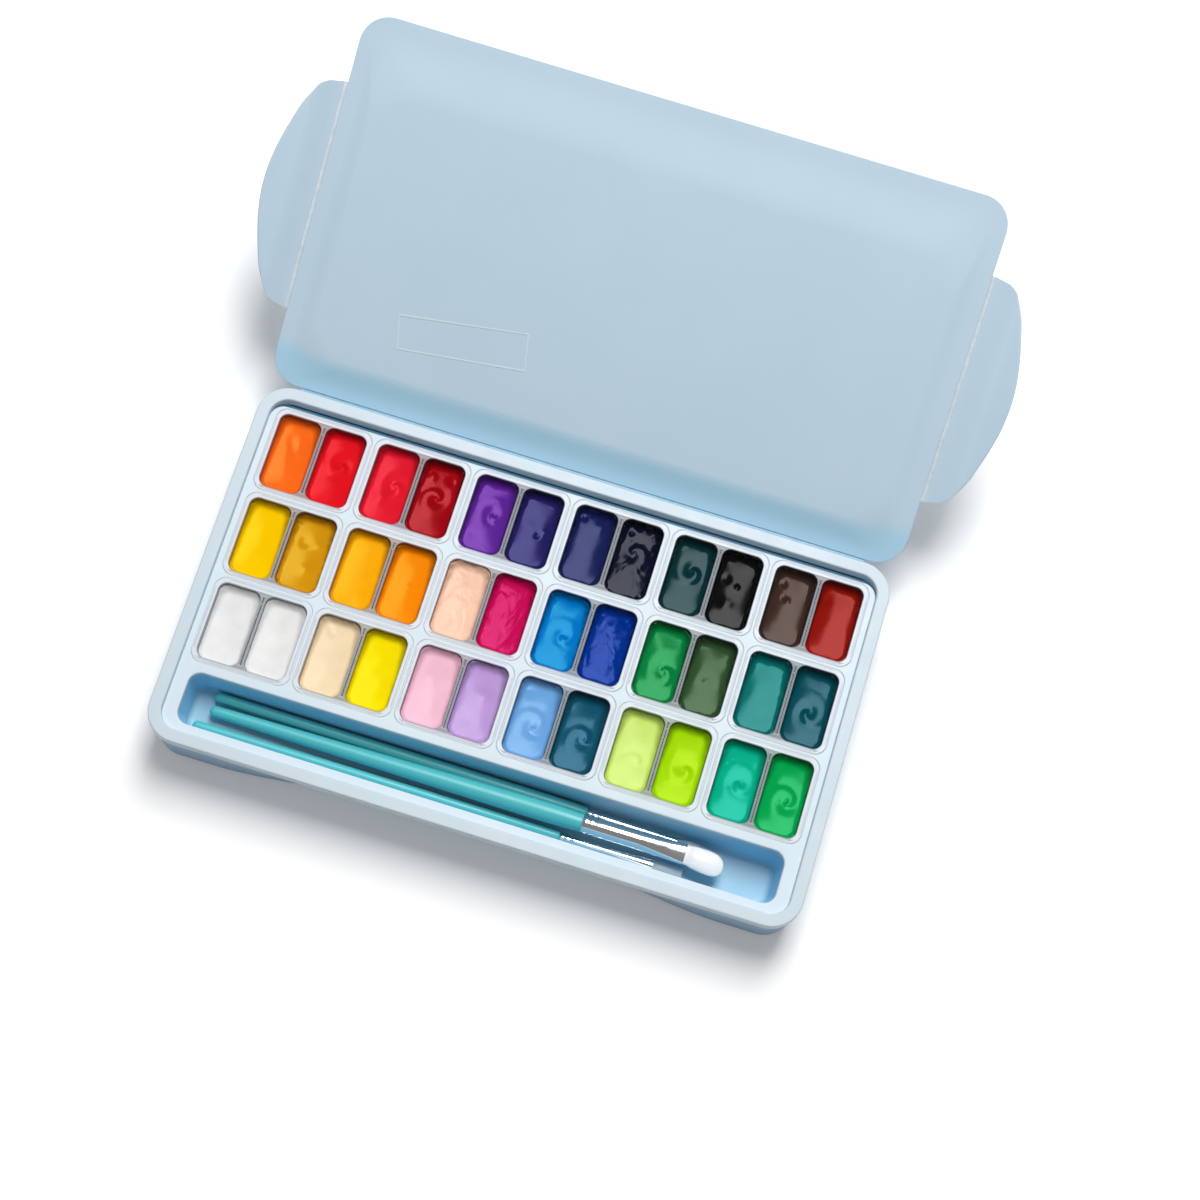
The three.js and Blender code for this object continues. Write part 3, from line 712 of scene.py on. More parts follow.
# %% Build the tray
tray_mesh = bmesh.new()
deck_rings = []
for inset, drop in ((deck_edge, 0), (deck_edge / 3, deck_edge / 3), (0, deck_edge)):
    deck_rings.append(at_height(deck_outline(inset, rear_groove_width, rear_groove_corner), deck_top - drop))
rear_groove_back = rear_groove_width - rear_groove_shoulder
deck_rings += [
    leg_ring(0, rear_groove_floor + rear_groove_round, rear_groove_width),
    leg_ring(0, rear_groove_floor, rear_groove_round),
    leg_ring(0, leg_foot),
    leg_ring(tray_wall, leg_foot),
    leg_ring(tray_wall, rear_groove_floor - tray_wall),
    leg_ring(tray_wall, rear_groove_floor - tray_wall, rear_groove_back),
    at_height(deck_outline(tray_wall, rear_groove_back, rear_groove_corner), deck_underside),
]
deck_rows = add_skin(tray_mesh, deck_rings)
trough_rows = add_skin(tray_mesh, trough_rings(0, edge_down(trough_edge)))
tray_mesh.faces.new(trough_rows[-1])
outer_trough_rows = add_skin(tray_mesh, trough_rings(tray_wall, [(0, deck_underside)]))
tray_mesh.faces.new(outer_trough_rows[-1])
seat_rows = [add_skin(tray_mesh, seat_rings(centre)) for centre in cup_centres.values()]
add_plate(tray_mesh, [deck_rows[0], trough_rows[0], *[rows[0] for rows in seat_rows]])
add_plate(tray_mesh, [deck_rows[-1], outer_trough_rows[0], *[rows[-1] for rows in seat_rows]])
tray = make_piece("tray", tray_mesh, tray_plastic)
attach(tray, "case")
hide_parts("cup_tray")
print("tray:", len(tray.data.polygons), "faces")

# %% [markdown]
# The twin cups are moulded in a frosted clear plastic over the pale tray. From above the flange looks nearly
# as pale as the tray, and only the edges, the walls and the divider show grey and a little of the paint,
# because light that went in at the paint comes out there. A fully clear shader would stay dark and grainy
# under a soft lamp, so the shader is frosted, and that grey shade and the paint's light are painted into a
# colour attribute of the mesh, which is worked out once the wells are filled.

# %% The frosted cup plastic
cup_plastic, cup_tree, cup_shader = new_finish(
    "cup_plastic", swatch("d8e1ea"), IOR=1.49, Roughness=0.4, Specular_IOR_Level=0.4
)
# The colour attribute holds the painted light of the paint and the painted shade of walls and gaps.
cup_colours = cup_tree.nodes.new("ShaderNodeAttribute")
cup_colours.attribute_name = "light_from_paint"
cup_clouds = cloud_colour(cup_tree, noise_over(cup_tree, 450, 3), (0.97, 0.97, 0.975, 1))
multiply_colours(cup_tree, cup_shader, cup_colours.outputs["Color"], cup_clouds)
vary_roughness(cup_tree, cup_shader, noise_over(cup_tree, 160, 3), 0.34, 0.45)
add_relief(cup_tree, cup_shader, noise_over(cup_tree, 700, 2), 0.006)
print("made", cup_plastic.name)

# %% [markdown]
# A twin cup is built like the tray's seats: an outer skin up to the flange, two drafted wells, and a groove
# along the divider with a small moulding pip in it. One flat plate joins them at the top. A ring of its own
# round both wells bounds the band where the shade of the walls below is painted.

# %% Measure the wells
well_edge = 0.3
well_land = 0.05
well_wall_drops = (1, 5, 10)
well_foot = 0.8
well_foot_inset = 0.7
well_floor = cup_bottom + cup_floor
well_mouth = (well_half_x, well_half_y, well_corner)


def well_size(z, grow=0.0):
    """Half of a well's size at a height, and its corner, which narrow downwards with the draft."""
    shrink = cup_draft * (deck_top - z) / cup_depth - grow
    corner = max(well_corner - shrink / 2, cup_divider / 2)
    return well_half_x - shrink, well_half_y - shrink, corner


def well_rings(side):
    """A well from its rounded rim to its floor."""
    centre = (side * well_centre, 0)
    rings = [grown_ring(well_mouth, well_edge + well_land, deck_top, centre)]
    for offset, z in edge_down(well_edge):
        half_x, half_y, corner = well_size(z, offset)
        rings.append(at_height(rounded_outline(half_x, half_y, corner + offset, 8, centre), z))
    for z in [*[deck_top - drop for drop in well_wall_drops], well_floor + well_foot]:
        rings.append(grown_ring(well_size(z), 0, z, centre))
    half_x, half_y, corner = well_size(well_floor)
    foot = rounded_outline(half_x - well_foot_inset, half_y - well_foot_inset, corner, 8, centre)
    return [*rings, at_height(foot, well_floor)]


print("well floor at", round(well_floor, 2), "mm")

# %% Build one twin cup
groove_half_width = 0.42
groove_depth = 0.24
groove_margin = 1.5
groove_steps = ((0.08, 0), (0, 0.06), (-0.05, groove_depth), (-0.16, groove_depth))
pip_radius = 0.34
pip_place_share = 0.72
pip_steps = ((pip_radius, groove_depth + 0.1), (pip_radius, 0.1), (pip_radius * 0.6, 0.04))
wall_band = 1.25
wall_band_line = 0.15
foot_steps = ((cup_draft + 0.6, cup_bottom), (cup_draft, cup_bottom + 0.5), (0, deck_top - cup_flange))
flange_steps = ((0, cup_flange), (0, 0.1), (0.03, 0.03), (0.1, 0), (0.22, 0), (0.62, 0), (0.7, 0), (0.85, 0))
cup_body = (2 * well_half_x + cup_divider / 2, well_half_y, well_corner)
flange = (flange_half_x, flange_half_y, flange_corner)

cup_mesh = bmesh.new()
outer_rings = [grown_ring(cup_body, cup_wall - inset, z) for inset, z in foot_steps]
outer_rings += [grown_ring(flange, flange_spread - inset, deck_top - drop) for inset, drop in flange_steps]
outer_rings += [grown_ring(cup_body, grow, deck_top) for grow in (wall_band + wall_band_line, wall_band)]
outer_rows = add_skin(cup_mesh, outer_rings)
cup_mesh.faces.new(outer_rows[0][::-1])
top_rows = [outer_rows[-1]]
for side in (-1, 1):
    well_rows = add_skin(cup_mesh, well_rings(side))
    cup_mesh.faces.new(well_rows[-1])
    top_rows.append(well_rows[0])
groove_rings = []
for offset, drop in groove_steps:
    half_length = well_half_y - groove_margin + offset
    outline = rounded_outline(groove_half_width + offset, half_length, groove_half_width, 4)
    groove_rings.append(at_height(outline, deck_top - drop))
groove_rows = add_skin(cup_mesh, groove_rings)
cup_mesh.faces.new(groove_rows[-1])
top_rows.append(groove_rows[0])
add_plate(cup_mesh, top_rows)
pip_rings = []
for radius, drop in pip_steps:
    turns = [(side + 0.5) * math.pi / 4 for side in range(8)]
    outline = [(radius * math.cos(t), pip_place_share * well_half_y + radius * math.sin(t)) for t in turns]
    pip_rings.append(at_height(outline, deck_top - drop))
add_closed_skin(cup_mesh, pip_rings)
cup_shape = make_piece("twin_cup_shape", cup_mesh, cup_plastic)
cup_data = cup_shape.data
bpy.data.objects.remove(cup_shape)
print("one twin cup:", len(cup_data.polygons), "faces")

# %% Put a twin cup in every seat
cups = {}
for cup_name, centre in cup_centres.items():
    cup = put_in_scene(cup_name.replace("twin", "frosted"), cup_data.copy())
    cup.location = (centre[0] * mm, centre[1] * mm, 0)
    even_normals(cup)
    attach(cup, cup_name.replace("twin_", ""))
    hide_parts(cup_name)
    cups[cup_name] = cup
bpy.data.meshes.remove(cup_data)
print("twin cups:", len(cups))

# %% [markdown]
# The gouache was poured into the wells while it was still fluid, and then dried a little. Every fill is
# different: some levelled out, some kept the curl where the stream of paint broke off, and thick ones stayed
# wrinkled. A generic noise would make thirty-six twins, so each fill gets a line of its own with what
# happened to it. Places are shares of a well: -1 is its left or front wall, 1 its right or back wall.

# %% A helper that notes a fill
fills = []


def pour(name, code, fill=0.0, bowl=0.9, curl=None, marks=(), streaks=(), wrinkle=0.0, ragged=0.2):
    """Notes one fill.

    fill: height over the usual level. bowl: how deep its middle lies.
    curl: (across, along, height, twist, turn). marks: round dents or bumps (across, along, radius, height).
    streaks: (across, along, across, along, width, height).
    wrinkle: height of the wrinkles. ragged: how unevenly it clings to the walls.
    """
    fills.append(
        dict(
            name=name, code=code, fill=fill, bowl=bowl, curl=curl, marks=marks, streaks=streaks,
            wrinkle=wrinkle, ragged=ragged,
        )
    )


print("the list of fills is open")

# %% Note down the thirty-six fills
pour("cool_white", "eaebea", bowl=0.8)
pour("bright_white", "ebebea", bowl=0.8)
pour("buff", "f7dfb9", bowl=0.8, streaks=[(-0.8, 0.9, -0.3, 0.6, 1.4, 0.25)])
pour("lemon_yellow", "fbe306", streaks=[(-0.4, -0.6, 0.6, 0.4, 3.0, 0.2)])
pour("rose_pink", "f7c1d6", fill=0.5, marks=[(-0.2, 0.3, 3.0, -0.25), (0.3, -0.4, 3.4, -0.2)])
pour("lilac", "be9bd8", fill=0.5, marks=[(0.2, 0.2, 3.2, -0.25), (-0.3, -0.5, 2.8, 0.2)])
pour("sky_blue", "6fa9e2", curl=(0.1, -0.15, 0.8, 1, 0.3), marks=[(-0.6, 0.7, 2.2, 0.35)])
pour("slate_teal", "0f5068", curl=(0.2, -0.1, 0.5, 1, 0.1))
pour("pale_lime", "cfeb72", bowl=0.6, curl=(0.2, -0.3, 0.25, 1, 0.0))
pour("yellow_green", "a6de0a", curl=(0.15, -0.1, 0.65, -1, 0.2))
pour(
    "turquoise_green", "04b08a", curl=(0.2, 0.0, 0.6, 1, 0.5),
    marks=[(-0.6, 0.4, 0.5, 0.2), (-0.4, 0.5, 0.4, 0.2)],
)
pour("bright_green", "04a44e", curl=(0.15, -0.1, 0.75, 1, 0.2))
pour("middle_yellow", "fbc902", bowl=0.8)
pour(
    "yellow_ochre", "d49410", ragged=0.5,
    marks=[(0.2, -0.4, 2.6, -0.5), (-0.3, 0.3, 2.4, 0.3), (0.5, 0.3, 2, -0.3)],
)
pour("golden_yellow", "fbac0c", bowl=0.5)
pour("orange_yellow", "fa8a08", marks=[(0.1, 0.0, 0.7, -0.2)])
pour("peach", "fbcdb2", fill=0.7, wrinkle=0.1, ragged=0.3)
pour("magenta", "c80c54", fill=0.7, wrinkle=0.07, ragged=0.5)
pour("cerulean", "0278c6", curl=(0.2, -0.05, 0.7, 1, 0.4), ragged=0.4)
pour("ultramarine", "012f8c", fill=0.6, wrinkle=0.06, ragged=0.4, marks=[(0.5, 0.75, 1.6, 0.4)])
pour("leaf_green", "06803f", curl=(0.2, -0.2, 0.65, -1, 0.3))
pour("olive_green", "2e4c2c", ragged=0.4, marks=[(0.0, -0.1, 3.6, 0.2), (0.0, -0.1, 1.6, -0.2)])
pour("teal", "036a67", bowl=0.5, marks=[(0.2, -0.6, 2.6, 0.2)])
pour("deep_teal", "044955", curl=(0.1, -0.1, 0.9, 1, 0.6))
pour("orange", "f96a1c", bowl=1.0, streaks=[(-0.2, 0.4, 0.3, -0.2, 2.4, 0.25)])
pour("vermilion", "e21420", curl=(0.1, 0.15, 1.0, -1, 0.1))
pour("scarlet", "e01a2e", curl=(0.2, 0.0, 1.1, -1, 0.3), marks=[(-0.3, -0.4, 2.6, -0.3)])
pour(
    "crimson", "9c0612", curl=(0.0, 0.05, 0.95, 1, 0.0),
    marks=[(0.5, 0.6, 2.0, 0.3), (-0.5, 0.6, 1.6, -0.3)],
)
pour("violet", "5a2490", curl=(0.2, 0.1, 0.7, 1, 0.4), marks=[(-0.4, -0.6, 2.2, 0.3)])
pour("blue_violet", "221e5c", marks=[(0.2, -0.1, 1.0, 0.35), (0.5, 0.05, 1.3, -0.3), (-0.2, 0.3, 3, 0.2)])
pour("indigo", "161f52", ragged=0.3, marks=[(-0.6, 0.75, 1.4, 0.4), (0.3, 0.6, 2.6, -0.35)])
pour(
    "midnight", "0b1024", curl=(-0.1, 0.2, 0.8, -1, 0.5), wrinkle=0.06, ragged=0.6,
    marks=[(-0.5, 0.7, 1.0, 0.5)],
)
pour("black_green", "063034", curl=(0.1, 0.2, 1.0, -1, 0.2))
pour(
    "black", "0c0c0d", ragged=0.4,
    marks=[(0.1, 0.15, 0.9, -0.35), (-0.2, -0.35, 2.8, -0.45), (-0.5, 0.3, 1.8, 0.35)],
)
pour("umber", "3a2820", marks=[(-0.1, 0.2, 1.2, -0.3), (-0.3, 0.25, 0.9, 0.35), (-0.5, 0.6, 1.2, 0.3)])
pour("burnt_sienna", "8c150c", marks=[(-0.7, 0.5, 1.8, 0.4), (0.1, -0.2, 3.0, 0.08)])
print("fills noted:", len(fills))

# %% [markdown]
# Gouache is pigment and chalk in gum. It covers completely, and while it is moist it has a soft gloss, which
# is why each well shows a hazy window of the lamp. Light that grazes the pigment under the skin comes out in
# the paint's own hue, so the gloss of a bright colour is tinted and that of black is plain grey. Near the
# walls, most of all at the back, where a wall throws its shade, a colour attribute of each fill's mesh paints
# that shade into the paint's colour.

# %% The gouache finish
gloss_least = 0.018
gloss_of_greys = 0.055
gloss_fading = 0.45
gloss_tint = 0.2
gloss_full = 0.21


def gouache(name, code):
    """Opaque moist paint, whose gloss takes on some of its colour."""
    colour = swatch(code)
    matt = 1 - sum(colour[:3]) / 3
    chroma = max(colour[:3]) - min(colour[:3])
    plain = gloss_least + gloss_of_greys * math.exp(-chroma / gloss_fading)
    gloss = [min(1, matt * (plain + min(part, gloss_tint)) / gloss_full) for part in colour[:3]]
    material, tree, shader = new_finish(name, colour, IOR=1.45, Specular_IOR_Level=0.25, Roughness=0.16)
    shader.inputs["Specular Tint"].default_value = (*gloss, 1)
    clouds = cloud_colour(tree, noise_over(tree, 160, 3), tinted(colour, 0.96), tinted(colour, 1.03))
    # Painted shade near the walls, from the fill's colour attribute, darkens the paint's colour.
    painted_shade = tree.nodes.new("ShaderNodeAttribute")
    painted_shade.attribute_name = "dried_at_wall"
    multiply_colours(tree, shader, clouds, painted_shade.outputs["Color"])
    vary_roughness(tree, shader, noise_over(tree, 130, 2), 0.13, 0.18)
    under = add_relief(tree, shader, noise_over(tree, 1500, 2), 0.002)
    add_relief(tree, shader, noise_over(tree, 260, 1), 0.012, under)
    return material


print("gouache ready to mix")

# %% [markdown]
# The relief of a fill is one height over the well: a bowl, a thin uneven rise where the paint clings to the
# wall, most of all at the back, and the marks noted above. A curl is a ridge whose turning follows the
# distance from its middle, as a stirred liquid leaves it. The wrinkles come from noise with a fixed seed, so
# every run makes the same ones.

# %% The marks in a fill
wrinkle_seed = 4
noise.seed_set(wrinkle_seed)
curl_pitch = 9.5
curl_reach = 5.8
curl_crest = 0.72
curl_middle = 1.6
curl_arm_share = 0.8
curl_tip = 0.85
curl_tip_share = 0.6


def curl_height(x, y, half_x, half_y, curl):
    """A swirl of one broad arm, gentle outside its crest and steep inside, with a small peak."""
    across, along, height, twist, turn = curl
    away_x = x - across * half_x
    away_y = y - along * half_y
    reach = math.hypot(away_x, away_y)
    turned = (twist * math.atan2(away_y, away_x) / (2 * math.pi) - reach / curl_pitch + turn) % 1
    if turned < curl_crest:
        arm = smooth_share(turned / curl_crest)
    else:
        arm = 1 - smooth_share((turned - curl_crest) / (1 - curl_crest))
    fade = math.exp(-((reach / curl_reach) ** 2)) * smooth_share(reach / curl_middle)
    return height * (curl_arm_share * arm * fade + curl_tip_share * math.exp(-((reach / curl_tip) ** 2)))


def streak_height(x, y, half_x, half_y, streak):
    """A ridge along a line, soft at its sides and ends."""
    start = Vector((streak[0] * half_x, streak[1] * half_y))
    end = Vector((streak[2] * half_x, streak[3] * half_y))
    run = end - start
    share = min(1, max(0, (Vector((x, y)) - start).dot(run) / run.length_squared))
    return streak[5] * math.exp(-(((Vector((x, y)) - start - run * share).length / streak[4]) ** 2))


print("curls reach", curl_reach, "mm")

# %% The relief of a fill
seed_step = 7.31
cling_rise = 1.0
cling_reach = 1.7
cling_lean = 0.3
cling_back = 0.75
cling_aside = 0.1
cling_corner = 4.6
ragged_share = 1.3
ragged_scale = 0.4
crust_share = 2.6
crust_scale = 0.5
swell_height = 0.08
swell_scale = 0.15
wrinkle_scale_across = 0.24
wrinkle_scale_along = 0.14
wrinkle_seed_step = 3.1
wrinkle_bend = 0.9
wrinkle_gain = 2


def wall_distance(x, y, half_x, half_y, corner):
    """How far inside a rounded rectangle a point is."""
    past_x = max(abs(x) - half_x + corner, 0)
    past_y = max(abs(y) - half_y + corner, 0)
    inside = min(max(abs(x) - half_x + corner, abs(y) - half_y + corner), 0)
    return corner - math.hypot(past_x, past_y) - inside


def fill_height(x, y, half_x, half_y, corner, notes, seed):
    """Height of a fill's surface over its level."""
    place = Vector((x, y, seed * seed_step))
    distance = max(0.0, wall_distance(x, y, half_x, half_y, max(corner, cling_corner)))
    lean = 1 + cling_lean * y / half_y
    back = max(0.0, y / half_y) ** 2
    reach = cling_reach * lean * (1 + cling_back * back + cling_aside * x / half_x)
    ragged = 1 + notes["ragged"] * ragged_share * noise.noise(place * ragged_scale)
    cling = max(0.0, 1 - distance / (reach * ragged)) ** 2
    crust = 1 + notes["ragged"] * crust_share * noise.noise(place * crust_scale)
    height = cling_rise * lean * crust * cling
    height -= notes["bowl"] * max(0, 1 - (x / half_x) ** 2) * max(0, 1 - (y / half_y) ** 2)
    height += swell_height * noise.noise(place * swell_scale)
    if notes["curl"]:
        height += curl_height(x, y, half_x, half_y, notes["curl"])
    for across, along, radius, rise in notes["marks"]:
        reach = math.hypot(x - across * half_x, y - along * half_y)
        height += rise * math.exp(-((reach / radius) ** 2))
    for streak in notes["streaks"]:
        height += streak_height(x, y, half_x, half_y, streak)
    if notes["wrinkle"]:
        swept = Vector((x * wrinkle_scale_across, y * wrinkle_scale_along, seed * wrinkle_seed_step))
        swept += wrinkle_bend * noise.noise_vector(place * wrinkle_scale_along)
        wrinkles = noise.fractal(swept, 1.0, 2.1, 3)
        height += notes["wrinkle"] * wrinkle_gain * (1 - cling) * wrinkles
    return height


print("relief ready: clings", cling_rise, "mm up its wall")

# %% How much shade is painted on the paint near the walls
wall_shade_reach = 3.4
wall_shade_depth = 0.62
wall_shade_whiteness = 0.75
wall_shade_front_reach_share = 0.35
wall_shade_front_share = 0.45
wall_shade_front_end = 0.2


def painted_wall_shade_at(x, y, half_x, half_y, corner, depth):
    """How much darker the paint is painted near the walls, as painted shade, most of all at the back."""
    distance = max(0.0, wall_distance(x, y, half_x, half_y, max(corner, cling_corner)))
    towards_back = smooth_share((y / half_y + wall_shade_front_end) / (1 + wall_shade_front_end))
    reach = wall_shade_reach * (wall_shade_front_reach_share + (1 - wall_shade_front_reach_share) * towards_back)
    darker = depth * (wall_shade_front_share + (1 - wall_shade_front_share) * towards_back)
    return 1 - darker * smooth_share(1 - distance / reach)


# The shade near the walls is painted into the paint's colour.
print("paint dries darker up to", wall_shade_reach, "mm from the wall")

# %% [markdown]
# A fill's mesh is a web of rays from the middle of its curl to the wall, so that the rings of the curl and
# the rim at the wall both fall along its lines. Below the rim the skin goes down the well to its floor,
# because the cups are see-through and their walls show the colour.

# %% Measure a fill and its outline
paint_drop = 3.3
paint_gap = 0.05
rays_per_corner = 12
rays_per_length = 26
rays_per_width = 12
rings_per_fill = 30
rings_towards_wall = 1.3
plain_middle = (0.1, 0.0)
fill_foot = well_floor + paint_gap
fill_middle_z = 20
fill_shoulder = 1


def even_outline(half_x, half_y, corner):
    """A rounded rectangle with points all round it, also on its straight sides."""
    arcs = rounded_outline(half_x, half_y, corner, rays_per_corner)
    points = []
    for side in range(4):
        arc = arcs[side * (rays_per_corner + 1) : (side + 1) * (rays_per_corner + 1)]
        points += arc
        start_x, start_y = arc[-1]
        end_x, end_y = arcs[(side + 1) * (rays_per_corner + 1) % len(arcs)]
        count = rays_per_length if side % 2 == 0 else rays_per_width
        for share in even_shares(count)[1:-1]:
            points.append((start_x + (end_x - start_x) * share, start_y + (end_y - start_y) * share))
    return points


print("a fill's outline has", len(even_outline(*well_mouth)), "points")

# %% Draw a fill
def fill_mesh(notes, side, centre, seed):
    """The closed body of one fill, and how much shade is painted at each corner of its mesh."""
    level = deck_top - paint_drop + notes["fill"]
    half_x, half_y, corner = well_size(level, -paint_gap)
    outline = even_outline(half_x, half_y, corner)
    middle = notes["curl"] or plain_middle
    middle_x = middle[0] * half_x
    middle_y = middle[1] * half_y
    well_x = centre[0] + side * well_centre
    # Pale paints get less painted shade.
    depth = wall_shade_depth * (1 - wall_shade_whiteness * min(swatch(notes["code"])[:3]))
    rings = []
    shades = []
    for ring in range(1, rings_per_fill + 1):
        out = 1 - (1 - ring / rings_per_fill) ** rings_towards_wall
        points = []
        for edge_x, edge_y in outline:
            x = middle_x + (edge_x - middle_x) * out
            y = middle_y + (edge_y - middle_y) * out
            z = level + fill_height(x, y, half_x, half_y, corner, notes, seed)
            points.append(Vector((well_x + x, centre[1] + y, z)))
            shades.append(painted_wall_shade_at(x, y, half_x, half_y, corner, depth))
        rings.append(points)
    below = [(level - fill_shoulder, 0), (fill_middle_z, 0)]
    below += [(fill_foot + well_foot, 0), (fill_foot, well_foot)]
    for z, inset in below:
        half_x, half_y, corner = well_size(z, -paint_gap - inset)
        lower = even_outline(half_x, half_y, corner)
        rings.append([Vector((well_x + x, centre[1] + y, z)) for x, y in lower])
        shades += [1 - depth] * len(lower)
    mesh = bmesh.new()
    rows = add_skin(mesh, rings)
    z = level + fill_height(middle_x, middle_y, half_x, half_y, corner, notes, seed)
    top = mesh.verts.new((well_x + middle_x, centre[1] + middle_y, z))
    for here in range(len(outline)):
        mesh.faces.new((top, rows[0][here], rows[0][(here + 1) % len(outline)]))
    mesh.faces.new(rows[-1])
    return mesh, [*shades, 1]


print("a fill has", rings_per_fill, "rings over its surface")

# %% Fill the wells
paints = {}
for index, notes in enumerate(fills):
    row, place = divmod(index, 2 * cup_columns)
    column, half = divmod(place, 2)
    cup_number = f"{row + 1}_{column + 1}"
    side = 1 if half else -1
    mesh, shades = fill_mesh(notes, side, cup_centres["twin_cup_" + cup_number], index + 1)
    paint = gouache("paint_" + notes["name"], notes["code"])
    piece = make_piece("gouache_" + notes["name"], mesh, paint, sharp_angle=70, even=False)
    # The painted shade near the walls goes into a colour attribute of the fill.
    painted_shade = piece.data.color_attributes.new("dried_at_wall", "FLOAT_COLOR", "POINT")
    for number, shade in enumerate(shades):
        painted_shade.data[number].color = (shade, shade, shade, 1)
    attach(piece, "cup_" + cup_number)
    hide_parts("paint_pair_" + cup_number)
    paints[notes["name"]] = paint
print("wells filled:", len(paints), "with", len(piece.data.polygons), "faces each")

# %% [markdown]
# Now the cups get their colour attribute. Every corner of a cup's mesh takes a mix of the pale plastic, a
# painted shade of grey for the wall or gap that would be seen through it, and the colour of the nearest
# paint as painted light coming through the plastic. The walls of the wells and the thin lines round them
# take up most of the paint's colour. The lines round a well are painted darkest at its front, at the left of
# a left well and towards the divider.

# %% How much paint colour and painted shade each part of a cup shows
pale_plastic = Vector(swatch("d8e1ea")[:3])
# The grey of the lines is painted shade.
painted_line_shade = Vector((0.07, 0.075, 0.09))
line_slack = 0.05
groove_side = 0.1
groove_rim = 0.03
wall_drop = 0.5
line_reach = 0.02
gap_line = 0.1
gap_facing = 0.3
flange_line = 0.16
flange_land = 0.8
groove_floor_shares = (0.5, 0.12)
groove_wall_shares = (0.24, 0.1)
groove_rim_shares = (0.36, 0.1)
well_wall_shares = (0.1, 0.4)
gap_shares = (0.3, 0.14)
flange_line_shares = (0.72, 0.16)
front_band_shares = (0.52, 0.12)
line_least_share = 0.12
line_growth_share = 0.8
line_inner_share = 0.75
line_paint_share = 0.3


def mixed(shares, paint):
    """Plain plastic and a paint in two shares."""
    return pale_plastic * shares[0] + paint * shares[1]


print("plain cup plastic:", [round(channel, 2) for channel in pale_plastic])

# %% Mix the painted light and shade in the cups
def side_of_well(x, y, half_x, half_y, corner):
    """Which way a place near a well's rim faces, as a direction across and along."""
    out_x = max(abs(x) - half_x + corner, 0)
    out_y = max(abs(y) - half_y + corner, 0)
    reach = math.hypot(out_x, out_y) or 1
    return math.copysign(out_x / reach, x), math.copysign(out_y / reach, y)


def painted_light_at(x, y, z, left_paint, right_paint):
    """The colour of a cup at a place measured from its middle, with painted light from the paint and painted
    shade.
    """
    side = -1 if x < 0 else 1
    paint = left_paint if x < 0 else right_paint
    both = (left_paint + right_paint) / 2

    in_groove = abs(x) < groove_half_width + groove_side
    # Painted shade in the groove, with a little of both paints' colour as painted light.
    if in_groove and abs(y) < well_half_y - groove_margin + 2 * groove_side:
        if abs(x) < groove_half_width - groove_side:
            return mixed(groove_floor_shares, both)
        return mixed(groove_wall_shares if z < deck_top - groove_rim else groove_rim_shares, both)

    well_x = x - side * well_centre
    outside = -wall_distance(well_x, y, *well_mouth)
    # The walls of the wells: mostly the paint's colour, painted darker, as painted light and shade.
    if outside < -line_slack or (outside < line_slack and z < deck_top - wall_drop):
        return mixed(well_wall_shares, paint)

    across, along = side_of_well(well_x, y, *well_mouth)
    inner = max(0, -side * across)
    # A painted shade line round the well's rim, darkest at the front, at the left of a left well and towards
    # the divider.
    if outside < well_edge + line_reach:
        left = max(0, -across) * (side < 0)
        facing = min(1, left + max(0, -along) + line_inner_share * inner)
        share = facing * line_growth_share + line_least_share
        return pale_plastic * (1 - share) + (painted_line_shade + paint * line_paint_share) * share
    # Painted shade in the gap beside the rim, towards the divider.
    if outside < well_edge + gap_line and inner > gap_facing:
        return mixed(gap_shares, both)

    flange_inset = wall_distance(x, y, *flange)
    # A painted shade line at the flange's outer edge.
    if flange_inset < flange_line:
        return mixed(flange_line_shares, paint)
    # A painted grey band in front of each well, for the shade of the wall below.
    if y < -well_half_y and flange_inset > flange_land and outside < wall_band + line_slack:
        return mixed(front_band_shares, paint)
    return pale_plastic


between_wells = painted_light_at(0, 0, deck_top, pale_plastic, pale_plastic)
print("plastic between two wells:", [round(channel, 2) for channel in between_wells])

# %% Paint the light of the paint and the shade into the cups
for row in range(cup_rows):
    for column in range(cup_columns):
        cup = cups[f"twin_cup_{row + 1}_{column + 1}"]
        first = 2 * (cup_columns * row + column)
        left_paint = Vector(swatch(fills[first]["code"])[:3])
        right_paint = Vector(swatch(fills[first + 1]["code"])[:3])
        colours = cup.data.color_attributes.new("light_from_paint", "FLOAT_COLOR", "POINT")
        for corner in cup.data.vertices:
            place = corner.co / mm
            colour = painted_light_at(place.x, place.y, place.z, left_paint, right_paint)
            colours.data[corner.index].color = (*[min(1, max(0, channel)) for channel in colour], 1)
print("cups coloured:", len(cups), "with", len(cup.data.vertices), "corners each")

# %% [markdown]
# The lid is one thin moulded sheet with a broad middle panel that stands a little nearer to the paints.
# The step between border and panel is a soft S. It is made in the lid's own frame, with its origin on the
# hinge, and then turned up to the angle at which its stiff hinge holds it.

# %% Measure the lid's sections
lid_open_angle = 26.5
lid_seat = 0.3
lid_thickness = 1.2
lid_overhang = 0.2
lid_front_inset = 1.85
lid_corner = 12
lid_border = 6.2
lid_edge_round = 0.3
panel_rise = 1.5
panel_start_share = 0.8
panel_corner_share = 0.6
panel_ramp = 8
panel_near_start = -2
panel_near_ramp = 4
panel_far_ramp = 17
panel_soft_corner = 10
panel_steps = 16
hinge_drop = 0.7
hinge_bead = 0.45
hinge_gap = 0.3
hinge_y = case_half_y + hinge_gap + hinge_bead
hinge_z = case_height - hinge_drop
lid_half_length = case_half_x + lid_overhang
lid_near_edge = hinge_gap
lid_far_edge = hinge_y + case_half_y - lid_front_inset
lid_middle_y = (lid_near_edge + lid_far_edge) / 2
lid_inner_face = -(hinge_drop + lid_seat)
lid_outer_face = lid_inner_face - lid_thickness
